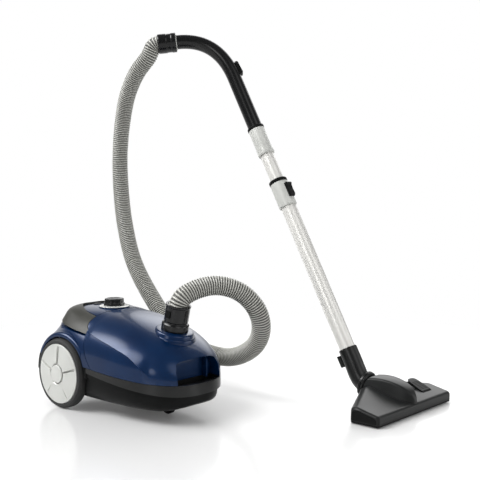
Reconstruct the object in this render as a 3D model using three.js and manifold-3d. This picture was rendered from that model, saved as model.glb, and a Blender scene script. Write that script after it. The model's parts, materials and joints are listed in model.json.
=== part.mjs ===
// A canister vacuum cleaner: a bagged canister on two large wheels and a caster, a corrugated
// hose, a bent handgrip, a telescopic wand and a floor nozzle. Millimetres, +Z up, +X towards the
// canister's front, +Y to its left. The canister's housing is one lofted form that is cut into
// base, bumper, rear cover, carrying handle and lid, so that their outer faces run on flush.
import * as THREE from 'three';
import { mergeVertices } from 'three/addons/utils/BufferGeometryUtils.js';
import Module from 'manifold-3d';

const wasm = await Module();
wasm.setup();

// ---- Driving dimensions -------------------------------------------------------------------

const gap = 0.3; // between pieces that touch
const wall = 2.8; // housings and covers

// Canister housing, measured from the wheel axle's place on the floor.
const bodyRear = -84;
const bodyFront = 304;
const bodyWidestX = 95;
const bodyHalfWidth = 120;
const bodyTopX = 20;
const bodyTopHeight = 206;
const floorHeight = 33; // underside of the base
const partingRear = 108; // height of the line between base and covers, at the rear end
const partingFront = 80; // the same at the front end
const chinRise = 20; // how far the underside lifts at the front
const chinLength = 60;
const bumperThickness = 3;
const bumperHeightRear = 10;
const bumperHeightFront = 23;
const bumperRearX = 84;
const tubInset = 6; // base walls below the bumper stand back this far
const tubPower = 6; // squareness of the tub's section
const shoulderPowerRear = 3.3; // squareness of the covers' section over the wheels
const shoulderPowerFront = 2.4; // the same over the dust bag
const shoulderRearX = -30;
const shoulderFrontX = 75;

// Lid.
const lidSeamX = 66;
const lidSeamFootX = 101; // where the seam meets the parting line
const hingeX = 73;
const hingeZ = 188.5;
const hingePinRadius = 2;
const hingeKnuckleRadius = 4.5;
const hingeKnuckleWidth = 5;
const hingeEarY = 28; // inner face of each ear on the rear cover
const recessHalfWidth = 59;
const recessTopHeight = 128;
const recessBackX = 264;
const recessFloorDrop = 7;
const recessLip = 7;
const inletX = 221;
const inletLean = 13; // degrees forward of vertical
const inletCollarRadius = 46;
const inletCollarTopRadius = 35;
const inletCollarTop = 5;
const inletBoreRadius = 23;

// Carrying handle and the finger groove under it.
const handleInnerHalfWidth = 68;
const handleInnerRear = -48;
const handleLowFront = 163;
const handleLowRear = 181;
const grooveRadius = 17;
const grooveInset = 2; // of the groove's centre line from the housing's outline

// Wheels, axles and caster.
const wheelRadius = 73.5;
const tyreThickness = 8;
const tyreInnerY = 102;
const tyreOuterY = 127;
const hubDome = 6; // hub cap's centre stands out past the tyre
const hubCentreRadius = 19;
const hubSectors = 5;
const axleRadius = 6;
const axleInnerY = 80;
const axleOuterY = 119;
const wellGap = 4; // around the tyre
const wellInnerY = 97;
const fenderRadius = 87.5;
const fenderOuterY = 119.5;
const casterX = 213;
const casterTrail = 10;
const casterWheelRadius = 16;
const casterWheelWidth = 15;
const casterPlateRadius = 25;
const casterStemRadius = 5;
const casterPinRadius = 2;

// Controls on the deck.
const knobX = 32;
const knobRadius = 22.5;
const knobHeight = 15;
const knobLobes = 6;
const dialRingRadius = 32;
const dialRingThickness = 2.4;
const rewindButtonX = -26;
const rewindButtonRadius = 9;

// Hose and its end pieces.
const hoseRadius = 20.5;
const connectorBaseRadius = 28;
const connectorBaseHeight = 16;
const connectorTopRadius = 25;
const connectorTopHeight = 54;
const connectorNeckLength = 16;
const cuffRadius = 23.5;
const cuffLength = 44;

// Wand: its plane, lean and lengths.
const wandY = 332;
const wandLean = 28.6; // degrees from vertical
const outerTubeRadius = 17.5;
const innerTubeRadius = 15.8;
const tubeWall = 1.2;
const outerTubeLength = 351; // from the elbow's rim to the end inside the collar
const collarLength = 69;
const collarRadius = 21;
const innerTubeShown = 67;
const innerTubeHidden = 330;
const socketLength = 74;
const socketRadius = 20;
const gripRadius = 17;
const gripWall = 3;
const gripStraight = 135;
const gripTwist = 45; // degrees, turns the bend towards the canister
const sliderLength = 34;
const sliderTravel = 12;

// Floor nozzle.
const nozzleFrontX = 589; // its front edge's place, which the wand and everything on it follow
const nozzleHalfWidth = 143;
const nozzleSideDepth = 65;
const nozzleNeckHalfWidth = 44;
const nozzleDepth = 118;
const nozzleFrontHeight = 23;
const nozzleSideHeight = 34;
const nozzleTopHeight = 50;
const soleClearance = 2.2; // sole above the floor
const brushFrontInset = 14;
const brushRearInset = 50;
const brushFrontHalf = nozzleHalfWidth - 14;
const brushRearHalf = nozzleHalfWidth - 32;
const brushThickness = 3.8;
const pivotSetback = 83; // of the neck's pivot behind the nozzle's front edge
const pivotX = nozzleFrontX - pivotSetback;
const pivotZ = 33;
const barrelRadius = 22;
const barrelHalfWidth = 24;
const ringX = pivotX - 39;
const ringZ = 45;
const neckDip = 17; // degrees below horizontal
const tiltUp = 18; // degrees that the nozzle tips on its neck, each way
const tiltDown = 8;
const pedalY = 418;
const elbowTopX = ringX - 50; // the tube's axis at the elbow's rim
const elbowTopZ = 115.5;

const finish = {
  blue: { color: 0x0d2f57, roughness: 0.22, metalness: 0.1 },
  black: { color: 0x1e1f20, roughness: 0.5, metalness: 0 },
  glossBlack: { color: 0x0b1214, roughness: 0.2, metalness: 0 },
  handleGrey: { color: 0x45453f, roughness: 0.45, metalness: 0.1 },
  silverPlastic: { color: 0xd3d4d0, roughness: 0.35, metalness: 0.3 },
  tubeSilver: { color: 0xdcdbd6, roughness: 0.3, metalness: 0.6 },
  rubber: { color: 0x1c1c1c, roughness: 0.8, metalness: 0 },
  hoseGrey: { color: 0x8c8c86, roughness: 0.55, metalness: 0 },
  nozzleGrey: { color: 0x3c3c3a, roughness: 0.4, metalness: 0 },
  steel: { color: 0xb8babc, roughness: 0.3, metalness: 0.9 },
  paper: { color: 0xd8cdb8, roughness: 0.95, metalness: 0 },
  foam: { color: 0xe8e8e2, roughness: 0.95, metalness: 0 },
};

// ---- Solids -------------------------------------------------------------------------------

const radians = THREE.MathUtils.degToRad;
const far = 1000; // reach of the cutting prisms

// A closed three.js geometry as a solid that can be joined and cut.
function solid(geometry) {
  const bare = new THREE.BufferGeometry();
  bare.setAttribute('position', geometry.getAttribute('position'));
  bare.setIndex(geometry.index);
  const merged = mergeVertices(bare, 1e-3);
  const corners = Array.from(merged.index.array);
  const kept = [];
  for (let i = 0; i < corners.length; i += 3) {
    const [a, b, c] = corners.slice(i, i + 3);
    if (a !== b && b !== c && c !== a) kept.push(a, b, c);
  }
  const build = (order) => new wasm.Manifold(new wasm.Mesh({
    numProp: 3,
    vertProperties: merged.attributes.position.array,
    triVerts: Uint32Array.from(order),
  }));
  const made = build(kept);
  return made.volume() > 0 ? made : build(kept.reverse());
}

const join = (first, ...others) => others.reduce((sum, next) => sum.add(next), first);
const cut = (first, ...others) => others.reduce((rest, next) => rest.subtract(next), first);

function mesh(name, shape, look) {
  const made = shape.getMesh();
  const geometry = new THREE.BufferGeometry();
  geometry.setAttribute('position', new THREE.BufferAttribute(made.vertProperties, 3));
  geometry.setIndex(new THREE.BufferAttribute(made.triVerts, 1));
  const flat = geometry.toNonIndexed();
  flat.computeVertexNormals();
  const piece = new THREE.Mesh(flat, new THREE.MeshStandardMaterial(finish[look]));
  piece.name = name;
  return piece;
}

function group(x, y, z, ...pieces) {
  const made = new THREE.Group();
  made.position.set(x, y, z);
  made.add(...pieces);
  return made;
}

function box(x0, x1, y0, y1, z0, z1) {
  const geometry = new THREE.BoxGeometry(x1 - x0, y1 - y0, z1 - z0);
  return solid(geometry.translate((x0 + x1) / 2, (y0 + y1) / 2, (z0 + z1) / 2));
}

// The way that each kind of prism lies: an outline's two directions and its depth's.
const lies = {
  x: [[0, 1, 0], [0, 0, 1], [1, 0, 0]],
  y: [[1, 0, 0], [0, 0, 1], [0, -1, 0]],
  z: [[1, 0, 0], [0, 1, 0], [0, 0, 1]],
};

// An outline pulled along an axis: (y, z) along x, (x, z) along y or (x, y) along z.
function prismGeometry(axis, outline, from, to) {
  const shape = new THREE.Shape(outline.map(([a, b]) => new THREE.Vector2(a, b)));
  const geometry = new THREE.ExtrudeGeometry(shape, { depth: to - from, bevelEnabled: false });
  const basis = lies[axis].map((v) => new THREE.Vector3(...v));
  geometry.applyMatrix4(new THREE.Matrix4().makeBasis(...basis));
  const shift = { x: [from, 0, 0], y: [0, to, 0], z: [0, 0, from] }[axis];
  return geometry.translate(...shift);
}

const prism = (...details) => solid(prismGeometry(...details));

// A profile of [radius, height] points revolved about an axis through the origin.
function revolve(axis, profile, segments = 20) {
  const closed = profile[0][0] === 0 ? profile : [...profile, profile[0]];
  const points = closed.map(([r, h]) => new THREE.Vector2(r, h));
  const geometry = new THREE.LatheGeometry(points, segments);
  if (axis === 'z') geometry.rotateX(Math.PI / 2);
  if (axis === 'x') geometry.rotateZ(-Math.PI / 2);
  return geometry;
}

const rod = (axis, radius, from, to, segments = 20) =>
  revolve(axis, [[0, from], [radius, from], [radius, to], [0, to]], segments);

const ring = (axis, inner, outer, from, to, segments = 20) =>
  revolve(axis, [[inner, from], [outer, from], [outer, to], [inner, to]], segments);

const at = (geometry, x, y, z) => solid(geometry.translate(x, y, z));

// Rings of points joined into one closed skin. A ring that has shrunk to a line needs no cap.
function loft(rings) {
  const count = rings[0].length;
  const positions = rings.flat(2);
  const index = [];
  for (let i = 0; i + 1 < rings.length; i += 1) {
    for (let j = 0; j < count; j += 1) {
      const a = i * count + j;
      const b = i * count + ((j + 1) % count);
      index.push(a, b, b + count, a, b + count, a + count);
    }
  }
  const cap = (start, flip) => {
    const points = [...Array(count).keys()].map((j) => start * count + j);
    const corner = (k) => new THREE.Vector3().fromArray(positions, 3 * k);
    const centre = points.reduce((sum, k) => sum.add(corner(k)), new THREE.Vector3());
    centre.divideScalar(count);
    const area = new THREE.Vector3();
    for (let j = 0; j < count; j += 1) {
      const edge = corner(points[j]).sub(centre);
      area.add(edge.cross(corner(points[(j + 1) % count]).sub(centre)));
    }
    if (area.length() < 1e-3) return;
    const middle = positions.length / 3;
    positions.push(...centre.toArray());
    for (let j = 0; j < count; j += 1) {
      const pair = [points[j], points[(j + 1) % count]];
      index.push(middle, ...(flip ? pair : pair.reverse()));
    }
  };
  cap(0, false);
  cap(rings.length - 1, true);
  const geometry = new THREE.BufferGeometry();
  geometry.setAttribute('position', new THREE.Float32BufferAttribute(positions, 3));
  geometry.setIndex(index);
  return geometry;
}

// A round bar along a curve.
function bar(curve, radius, steps, sides) {
  const outline = new THREE.Shape();
  outline.absarc(0, 0, radius, 0, 2 * Math.PI);
  return new THREE.ExtrudeGeometry(outline, {
    steps,
    extrudePath: curve,
    curveSegments: sides / 2,
  });
}

// ---- The canister's lofted form -----------------------------------------------------------

// How high a rounded end stands, from 1 at its middle (u = 0) to 0 at its end (u = 1).
function roundedEnd(u, power) {
  const reach = Math.min(1, Math.abs(u));
  return reach > 1 - 1e-9 ? 0 : (1 - reach ** power) ** (1 / power);
}

const blend = (x, x0, x1) => THREE.MathUtils.clamp((x - x0) / (x1 - x0), 0, 1);

function halfWidthAt(x, inset) {
  const front = x > bodyWidestX;
  const end = front ? bodyFront - inset : bodyRear + inset;
  return (bodyHalfWidth - inset) * roundedEnd((x - bodyWidestX) / (end - bodyWidestX), front ? 2.7 : 2.8);
}

const partingAt = (x) =>
  partingRear + (partingFront - partingRear) * (x - bodyRear) / (bodyFront - bodyRear);

function topAt(x, inset) {
  const front = x > bodyTopX;
  const end = front ? bodyFront - inset : bodyRear + inset;
  const foot = front ? partingFront : partingRear;
  const rise = bodyTopHeight - inset - foot;
  return foot + rise * roundedEnd((x - bodyTopX) / (end - bodyTopX), front ? 2.1 : 4.5);
}

const undersideAt = (x, inset) =>
  floorHeight + inset + chinRise * blend(x, bodyFront - chinLength, bodyFront) ** 2;

// One upright section: superellipse quarters above and below the parting line.
function sectionAt(x, inset, lift, points) {
  const halfWidth = halfWidthAt(x, inset);
  const waist = partingAt(x);
  const shoulder = THREE.MathUtils.lerp(
    shoulderPowerRear, shoulderPowerFront, blend(x, shoulderRearX, shoulderFrontX));
  return Array.from({ length: points }, (_, j) => {
    const angle = 2 * Math.PI * j / points;
    const [c, s] = [Math.cos(angle), Math.sin(angle)];
    const power = s > 0 ? shoulder : tubPower;
    const rise = s > 0 ? Math.max(0, topAt(x, inset) - waist) : waist - undersideAt(x, lift);
    const reach = (Math.abs(c) ** power + Math.abs(s) ** power) ** (-1 / power);
    return [x, halfWidth * reach * c, waist + rise * reach * s];
  });
}

function bodyForm(inset, lift = inset, stations = 20, points = 28) {
  const middle = (bodyRear + bodyFront) / 2;
  const half = (bodyFront - bodyRear) / 2 - inset;
  const rings = [];
  for (let i = 0; i <= stations; i += 1) {
    rings.push(sectionAt(middle - half * Math.cos(Math.PI * i / stations), inset, lift, points));
  }
  return solid(loft(rings));
}

// Everything above (side 1) or below (side -1) the parting line moved up by lift.
function parted(side, lift) {
  const edge = [-far, far].map((x) => [x, partingAt(x) + lift]);
  return prism('y', [...edge, [far, side * far], [-far, side * far]], -far, far);
}

// The seam between lid and rear cover in side view: round the hinge pin, then down to the base.
const seamHinge = Math.hypot(lidSeamX - hingeX, topAt(lidSeamX, 0) - hingeZ);
function seamLine(back) {
  const reach = seamHinge + back;
  const start = Math.PI / 2 + Math.asin((hingeX - lidSeamX) / seamHinge);
  const foot = Math.asin((hingeX - lidSeamX) / reach);
  const arc = [];
  for (let k = 0; k <= 8; k += 1) {
    const angle = start + (1.5 * Math.PI - foot - start) * k / 8;
    arc.push([hingeX + reach * Math.cos(angle), hingeZ + reach * Math.sin(angle)]);
  }
  const low = partingAt(lidSeamFootX);
  const fall = arc.at(-1)[1] - low;
  const sweep = [0.3, 0.6, 0.85, 1].map((t) => [
    lidSeamX - back + (lidSeamFootX - lidSeamX) * t ** 2,
    arc.at(-1)[1] - fall * t,
  ]);
  return [[arc[0][0], far], ...arc, ...sweep, [lidSeamFootX - back, -far]];
}

const inFrontOfSeam = () => prism('y', [...seamLine(0), [far, -far], [far, far]], -far, far);
const behindSeam = (back) => prism('y', [...seamLine(back), [-far, -far], [-far, far]], -far, far);

const wheelWell = (grow) => {
  const radius = wheelRadius + wellGap + grow;
  const side = (from, to) => at(rod('y', radius, from, to, 24), 0, 0, wheelRadius);
  return join(side(wellInnerY - grow, far), side(-far, -wellInnerY + grow));
};

const deckTop = topAt(knobX, 0) + gap;

// ---- Housing pieces -----------------------------------------------------------------------

const bumperDepthAt = (x) => THREE.MathUtils.lerp(
  bumperHeightRear, bumperHeightFront, blend(x, bumperRearX, bodyFront));

// The space behind bumperRearX on, from the band's lower edge to the parting line.
function bumperZone(rear, grow) {
  const upper = [[rear, partingAt(rear)], [far, partingAt(far)]];
  const lower = [[far, partingAt(far) - bumperHeightFront - grow],
    [bodyFront, partingAt(bodyFront) - bumperHeightFront - grow],
    [rear, partingAt(rear) - bumperDepthAt(rear) - grow]];
  return prism('y', [...upper.map(([x, z]) => [x, z - gap / 2]), ...lower], -far, far);
}

function bumperStrip() {
  return cut(bodyForm(0), bodyForm(bumperThickness)).intersect(bumperZone(bumperRearX, 0));
}

const tubWall = () => tubInset + wall;

// The dust compartment and the motor compartment, with the wall between them.
function baseCavity() {
  const inner = cut(bodyForm(tubWall(), wall, 12, 16), wheelWell(wall));
  const rear = inner.intersect(box(-far, bulkheadX, -far, far, -far, far));
  const front = inner.intersect(box(bulkheadX + wall, recessBackX - wall, -far, far, -far, far));
  return join(rear, front);
}

const recessOutline = (grow, sink) => {
  const side = recessHalfWidth + grow;
  const top = recessTopHeight + grow;
  const corner = 16;
  return [[-side, partingFront - sink], [side, partingFront - sink], [side, top - corner - 6],
    [side - corner * 0.35, top - corner * 0.45], [side - corner, top - 3], [0, top],
    [-side + corner, top - 3], [-side + corner * 0.35, top - corner * 0.45],
    [-side, top - corner - 6]];
};

function baseHousing() {
  const rim = bodyForm(bumperThickness + gap)
    .intersect(join(bumperZone(-far, -gap), bumperZone(bumperRearX, -gap)));
  const tub = bodyForm(tubInset, 0, 14, 24).intersect(parted(-1, -bumperHeightRear / 2));
  const fender = fenders().intersect(parted(-1, -gap / 2))
    .intersect(box(-far, far, -far, far, wheelRadius, far));
  const casterHousing = at(rod('z', casterPlateRadius + 5, 1, casterHousingHeight), casterX, 0, floorHeight);
  const bosses = [-1, 1].map((side) => at(
    rod('y', axleRadius + 6, axleInnerY - 4, wellInnerY - 1), 0, 0, wheelRadius,
  ).mirror(side < 0 ? [0, 1, 0] : [1, 0, 0]));
  const shell = cut(join(rim, tub, fender), wheelWell(0), baseCavity());
  const fingerFloor = prism('z', [[recessBackX, -recessHalfWidth],
    [bodyFront - recessLip - 8, -recessHalfWidth],
    [bodyFront - recessLip - 3, -recessHalfWidth / 2], [bodyFront - recessLip - 1, 0],
    [bodyFront - recessLip - 3, recessHalfWidth / 2], [bodyFront - recessLip - 8, recessHalfWidth],
    [recessBackX, recessHalfWidth]], partingFront - recessFloorDrop, far);
  const front = cut(box(motorX + motorLength / 2 + 1, motorX + motorLength / 2 + 8, -60, 60,
    floorHeight + 1, partingAt(bulkheadX)), at(rod('x', motorRadius + 3 + gap, -far, far, 32), 0, 0, motorZ));
  const back = cut(box(motorX - motorLength / 2 - 8, motorX - motorLength / 2 - 1, -30, 30,
    floorHeight + 1, partingAt(0) - 1), at(rod('x', 20 + gap, -far, far, 24), 0, 0, motorZ));
  return cut(
    join(shell, casterHousing, front, back, ...bosses),
    grilleOpening(0),
    box(bulkheadX - 1, bulkheadX + wall + 1, -filterHalfWidth + 6, filterHalfWidth - 6,
      filterLow + 6, filterHigh - 6),
    fingerFloor,
    at(rod('z', casterPlateRadius + 1, -far, 7), casterX, 0, floorHeight),
    at(rod('z', casterStemRadius + gap, 0, 14), casterX, 0, floorHeight),
    at(rod('y', axleRadius + gap, axleInnerY - gap, far), 0, 0, wheelRadius),
    at(rod('y', axleRadius + gap, -far, -axleInnerY + gap), 0, 0, wheelRadius),
  );
}

function fenders() {
  const profile = [[0, 60], [fenderRadius, 60], [fenderRadius, fenderOuterY - 9],
    [fenderRadius - 2.6, fenderOuterY - 2.6], [fenderRadius - 7, fenderOuterY], [0, fenderOuterY]];
  const left = at(revolve('y', profile, 28), 0, 0, wheelRadius);
  return join(left, left.mirror([0, 1, 0]));
}

const handleLowAt = (x) => THREE.MathUtils.lerp(
  handleLowFront, handleLowRear, blend(x, lidSeamX, bodyRear));

// The room that the carrying handle takes, grown on its lower and inner sides.
function handleZone(grow) {
  const low = [lidSeamX + far, lidSeamX, bodyRear, -far];
  const above = prism('y', [...low.map((x) => [x, handleLowAt(x) - grow]), [-far, far], [far, far]],
    -far, far);
  const reach = lidSeamX - handleInnerRear - grow;
  const inner = [];
  for (let k = 0; k <= 20; k += 1) {
    const angle = Math.PI / 2 + Math.PI * k / 20;
    const side = (handleInnerHalfWidth - grow) * Math.sin(angle);
    inner.push([lidSeamX + reach * Math.cos(angle), side]);
  }
  const tongue = prism('z', [[far, handleInnerHalfWidth - grow], ...inner,
    [far, grow - handleInnerHalfWidth]], -far, far);
  return cut(above, tongue);
}

function carryingHandle() {
  return bodyForm(0).intersect(handleZone(0)).intersect(behindSeam(gap));
}

// The groove that the fingers reach into, a round cutter run along the housing's outline.
function fingerGroove(grow) {
  const points = [];
  const outline = (x) => halfWidthAt(x, grooveInset);
  const start = lidSeamX - 30;
  for (let k = 0; k <= 12; k += 1) {
    const angle = Math.PI * (k / 12 - 0.5);
    const x = bodyRear + grooveInset + (start - bodyRear) * (1 - Math.cos(angle) ** 1.2);
    const out = 8 * (1 - Math.cos(angle));
    const side = Math.sign(angle) * (outline(x) + out);
    points.push(new THREE.Vector3(x, side, handleLowAt(x) - grooveRadius + 1));
  }
  const curve = new THREE.CatmullRomCurve3(points);
  return solid(bar(curve, grooveRadius + grow, 14, 10));
}

function rearCover() {
  const outside = join(bodyForm(0), fenders().intersect(box(-far, lidSeamX, -far, far, 0, far)));
  const shell = cut(
    outside.intersect(parted(1, gap / 2)).intersect(behindSeam(gap)),
    handleZone(gap),
    fingerGroove(0).intersect(box(-far, far, -far, far, -far, handleLowRear + 1)),
    wheelWell(0),
  );
  const hollow = cut(
    bodyForm(wall, wall, 12, 16).intersect(behindSeam(gap + wall)),
    handleZone(gap + wall),
    fingerGroove(wall),
    wheelWell(wall),
  );
  const pad = at(rod('z', dialRingRadius + 2, -6, 0), knobX, 0, deckTop);
  const ears = [1, -1].map((side) => hingeEar().mirror(side < 0 ? [0, 1, 0] : [1, 0, 0]));
  return cut(
    join(cut(shell, hollow), pad.intersect(behindSeam(gap))),
    at(rod('z', knobStemRadius + 1, -30, far), knobX, 0, deckTop),
    at(rod('z', rewindButtonRadius + gap, -40, far), rewindButtonX, 0, bodyTopHeight),
    hingeBore(),
    at(rod('x', 7 + gap, -far, 14, 24), bodyRear, 0, outletZ),
  );
}

// An ear on the rear cover that carries the lid's hinge pin from below.
function hingeEar() {
  const r = hingeKnuckleRadius;
  const plate = [[hingeX + r, hingeZ], [hingeX + r, hingeZ - 20], [lidSeamX - 6, hingeZ - 40],
    [lidSeamX - 6, hingeZ - 17], [hingeX - r, hingeZ - 13], [hingeX - r, hingeZ]];
  return join(
    prism('y', plate, hingeEarY, hingeEarY + hingeKnuckleWidth),
    at(rod('y', r, hingeEarY, hingeEarY + hingeKnuckleWidth, 20), hingeX, 0, hingeZ),
  );
}

const lugY = hingeEarY + hingeKnuckleWidth + gap;

// A lug under the lid's top wall, beside each ear.
function hingeLug() {
  const r = hingeKnuckleRadius;
  const plate = [[hingeX - r, hingeZ], [hingeX - r, bodyTopHeight], [hingeX + 2 * r, bodyTopHeight],
    [hingeX + r, hingeZ]];
  return join(
    prism('y', plate, lugY, lugY + hingeKnuckleWidth).intersect(bodyForm(1)),
    at(rod('y', r, lugY, lugY + hingeKnuckleWidth, 20), hingeX, 0, hingeZ),
  );
}

const bothSides = (make) => join(make(), make().mirror([0, 1, 0]));

const hingePinHalf = lugY + hingeKnuckleWidth;

// The bore ends just past the pin, so the lid's sides stay whole.
const hingeBore = () => at(
  rod('y', hingePinRadius + gap, -hingePinHalf - gap, hingePinHalf + gap, 16), hingeX, 0, hingeZ);

const hingePin = () => at(
  rod('y', hingePinRadius, -hingePinHalf, hingePinHalf, 16), hingeX, 0, hingeZ);

const inletZ = topAt(inletX, 0);

// Places a piece that was made about the hose inlet's axis.
const onInlet = (geometry) => solid(
  geometry.rotateY(radians(inletLean)).translate(inletX, 0, inletZ));

function lid() {
  const collar = onInlet(revolve('z', [[0, -14], [inletCollarRadius, -14],
    [inletCollarRadius - 3, -4], [inletCollarTopRadius + 4, inletCollarTop - 2],
    [inletCollarTopRadius, inletCollarTop], [0, inletCollarTop]], 28));
  const outside = join(bodyForm(0), collar).intersect(parted(1, gap / 2)).intersect(inFrontOfSeam());
  const hollow = cut(
    bodyForm(wall, wall, 14, 16),
    prism('x', recessOutline(wall, far), recessBackX - wall, far),
  );
  const socket = onInlet(ring('z', inletBoreRadius, inletBoreRadius + wall, -connectorNeckLength, 0, 28));
  const recessRib = prism('x', [[36, partingFront - far], [40, partingFront - far],
    [40, recessTopHeight + 1], [36, recessTopHeight + 1]], recessBackX - 1, recessBackX + 12);
  const shell = cut(outside, hollow, prism('x', recessOutline(0, far), recessBackX, far));
  const rib = recessRib.intersect(bodyForm(recessLip + 4, recessLip, 20, 28)).intersect(parted(1, gap));
  return cut(
    join(shell, bothSides(hingeLug), socket, rib),
    hingeBore(),
    onInlet(rod('z', inletBoreRadius, -far, far, 28)),
  );
}

// The hook behind the recess that holds the lid shut.
function lidCatch() {
  const x = recessBackX - wall - gap;
  const outline = [[x, partingAt(x) + 4], [x, partingAt(x) + 22], [x - 5, partingAt(x) + 22],
    [x - 9, partingAt(x) + 4], [x - 9, partingAt(x) - 6], [x - 13, partingAt(x) - 9],
    [x - 9, partingAt(x) - 13], [x - 6, partingAt(x) - 13], [x - 6, partingAt(x) + 4]];
  return prism('y', outline, -12, 12);
}

const inletSeal = () => onInlet(revolve('z', [
  [hoseRadius - 2, -connectorNeckLength - 8], [inletBoreRadius + wall, -connectorNeckLength - 8],
  [inletBoreRadius + wall, -connectorNeckLength - gap], [hoseRadius - 2, -connectorNeckLength - gap],
], 28));

// ---- Hose connector -----------------------------------------------------------------------

const connectorBore = hoseRadius + 2 * gap;
const buttonHeights = [28, 42];
const buttonTravel = 1.5;

// Made about its own axis, with height 0 on the lid's collar.
function hoseConnector() {
  const topLip = connectorTopHeight - 5;
  const body = solid(revolve('z', [
    [hoseRadius - 3, -inletCollarTop - connectorNeckLength],
    [inletBoreRadius - gap, -inletCollarTop - connectorNeckLength],
    [inletBoreRadius - gap, gap], [connectorBaseRadius, gap],
    [connectorBaseRadius, connectorBaseHeight - 3], [connectorBaseRadius - 2.4, connectorBaseHeight],
    [connectorTopRadius - 1, connectorBaseHeight], [connectorTopRadius - 1, connectorBaseHeight + 2],
    [connectorTopRadius, connectorBaseHeight + 4], [connectorTopRadius, topLip],
    [connectorTopRadius + 1, topLip + 2], [connectorTopRadius + 1, connectorTopHeight],
    [connectorBore, connectorTopHeight], [connectorBore, connectorTopHeight - 12],
    [hoseRadius - 3, connectorTopHeight - 12],
  ], 24));
  const pockets = bothSides(() => box(-6 - gap, 6 + gap, buttonInnerY - buttonTravel - gap, far,
    buttonHeights[0] - gap, buttonHeights[1] + gap));
  return cut(body, pockets);
}

const buttonInnerY = connectorTopRadius - 4;

const connectorButton = () => box(-6, 6, buttonInnerY, connectorTopRadius + 1.5, ...buttonHeights);

// ---- Deck controls ------------------------------------------------------------------------

const knobStemRadius = 5;

const dialRing = () => at(revolve('z', [
  [knobStemRadius + 6, gap], [dialRingRadius, gap], [dialRingRadius, dialRingThickness - 1],
  [dialRingRadius - 2, dialRingThickness], [knobStemRadius + 6, dialRingThickness]], 28), 0, 0, 0);

// A lobed outline at one height of the knob.
function knobRing(scale, z) {
  return Array.from({ length: knobLobes * 4 }, (_, k) => {
    const angle = 2 * Math.PI * k / (knobLobes * 4);
    const r = knobRadius * scale * (1 - 0.045 * (1 - Math.cos(knobLobes * angle)));
    return [r * Math.cos(angle), r * Math.sin(angle), z];
  });
}

function powerKnob() {
  const z0 = dialRingThickness + gap;
  const top = z0 + knobHeight;
  const cap = solid(loft([knobRing(1, z0), knobRing(1, z0 + 5), knobRing(0.93, z0 + 6.5),
    knobRing(0.93, top - 2), knobRing(0.86, top)]));
  const dish = at(new THREE.SphereGeometry(60, 24, 18), 0, 0, top + 60 - 2.4);
  const stem = solid(rod('z', knobStemRadius, -14, z0 + 2, 20));
  return join(cut(cap, dish), stem);
}

const speedControl = () => join(
  at(rod('z', 12, -28, -14 - gap, 24), 0, 0, 0),
  box(-20, 20, -15, 15, -31, -27),
);

const rewindTop = topAt(rewindButtonX, 0) + 2.2;

const rewindButton = () => at(revolve('z', [
  [0, -16], [rewindButtonRadius, -16], [rewindButtonRadius, -1.5], [rewindButtonRadius - 1.5, 0],
  [0, -0.6]], 20), rewindButtonX, 0, rewindTop);

// ---- Wheels and caster --------------------------------------------------------------------

const tyre = () => {
  const inner = wheelRadius - tyreThickness;
  return solid(revolve('y', [[inner, tyreInnerY], [wheelRadius - 3, tyreInnerY],
    [wheelRadius, tyreInnerY + 5], [wheelRadius, tyreOuterY - 7], [wheelRadius - 3, tyreOuterY - 1],
    [wheelRadius - 6, tyreOuterY], [inner, tyreOuterY]], 28));
};

// One blade of the hub cap: a sector whose face rises from one edge to the other.
function hubSector(k) {
  const rim = wheelRadius - tyreThickness - 6;
  const span = 2 * Math.PI / hubSectors;
  const rings = [];
  for (let i = 0; i <= 3; i += 1) {
    const angle = span * (k + 0.02 + 0.94 * i / 3);
    const rise = 0.6 + 2.2 * i / 3;
    const corner = (r, y) => [r * Math.cos(angle), y, r * Math.sin(angle)];
    rings.push([corner(hubCentreRadius + 2, tyreOuterY - 6), corner(rim, tyreOuterY - 6),
      corner(rim, tyreOuterY - 1 + rise * 0.4), corner(hubCentreRadius + 2, tyreOuterY + 2 + rise)]);
  }
  return solid(loft(rings));
}

function hub() {
  const edge = wheelRadius - tyreThickness - gap;
  const face = solid(revolve('y', [
    [axleRadius + gap, wellInnerY + 3], [axleRadius + 9, wellInnerY + 3],
    [axleRadius + 9, tyreOuterY - 12], [edge - 6, tyreOuterY - 12], [edge - 6, tyreInnerY + 1],
    [edge, tyreInnerY + 1], [edge, tyreOuterY], [edge - 5, tyreOuterY + 0.4],
    [hubCentreRadius + 2, tyreOuterY + 1.2], [hubCentreRadius + 1, tyreOuterY],
    [hubCentreRadius, tyreOuterY + 4], [hubCentreRadius - 2, tyreOuterY + hubDome - 0.6],
    [0, tyreOuterY + hubDome], [0, axleOuterY + gap], [axleRadius + gap, axleOuterY + gap]], 28));
  const sectors = Array.from({ length: hubSectors }, (_, k) => hubSector(k));
  return join(face, ...sectors);
}

const axle = () => solid(rod('y', axleRadius, axleInnerY, axleOuterY, 16));

const casterPlateTop = 7 - gap;

// Fork, stem and plate, about the swivel axis with height 0 at the housing's underside.
function casterFork() {
  const cheekInner = casterWheelWidth / 2 + 0.6;
  const axleZ = casterWheelRadius - floorHeight;
  const cheek = () => join(
    prism('y', [[-casterTrail - 6, axleZ], [-casterTrail + 6, axleZ], [8, 1.5], [-casterTrail - 8, 1.5]],
      cheekInner, cheekInner + 3),
    at(rod('y', 6, cheekInner, cheekInner + 3, 20), -casterTrail, 0, axleZ),
  );
  return join(
      solid(rod('z', casterPlateRadius, 1, casterPlateTop, 28)),
      solid(rod('z', casterStemRadius, 2, 13.5, 20)),
      bothSides(cheek),
      at(rod('y', casterPinRadius, -cheekInner - 1, cheekInner + 1, 16), -casterTrail, 0, axleZ),
  );
}

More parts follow.
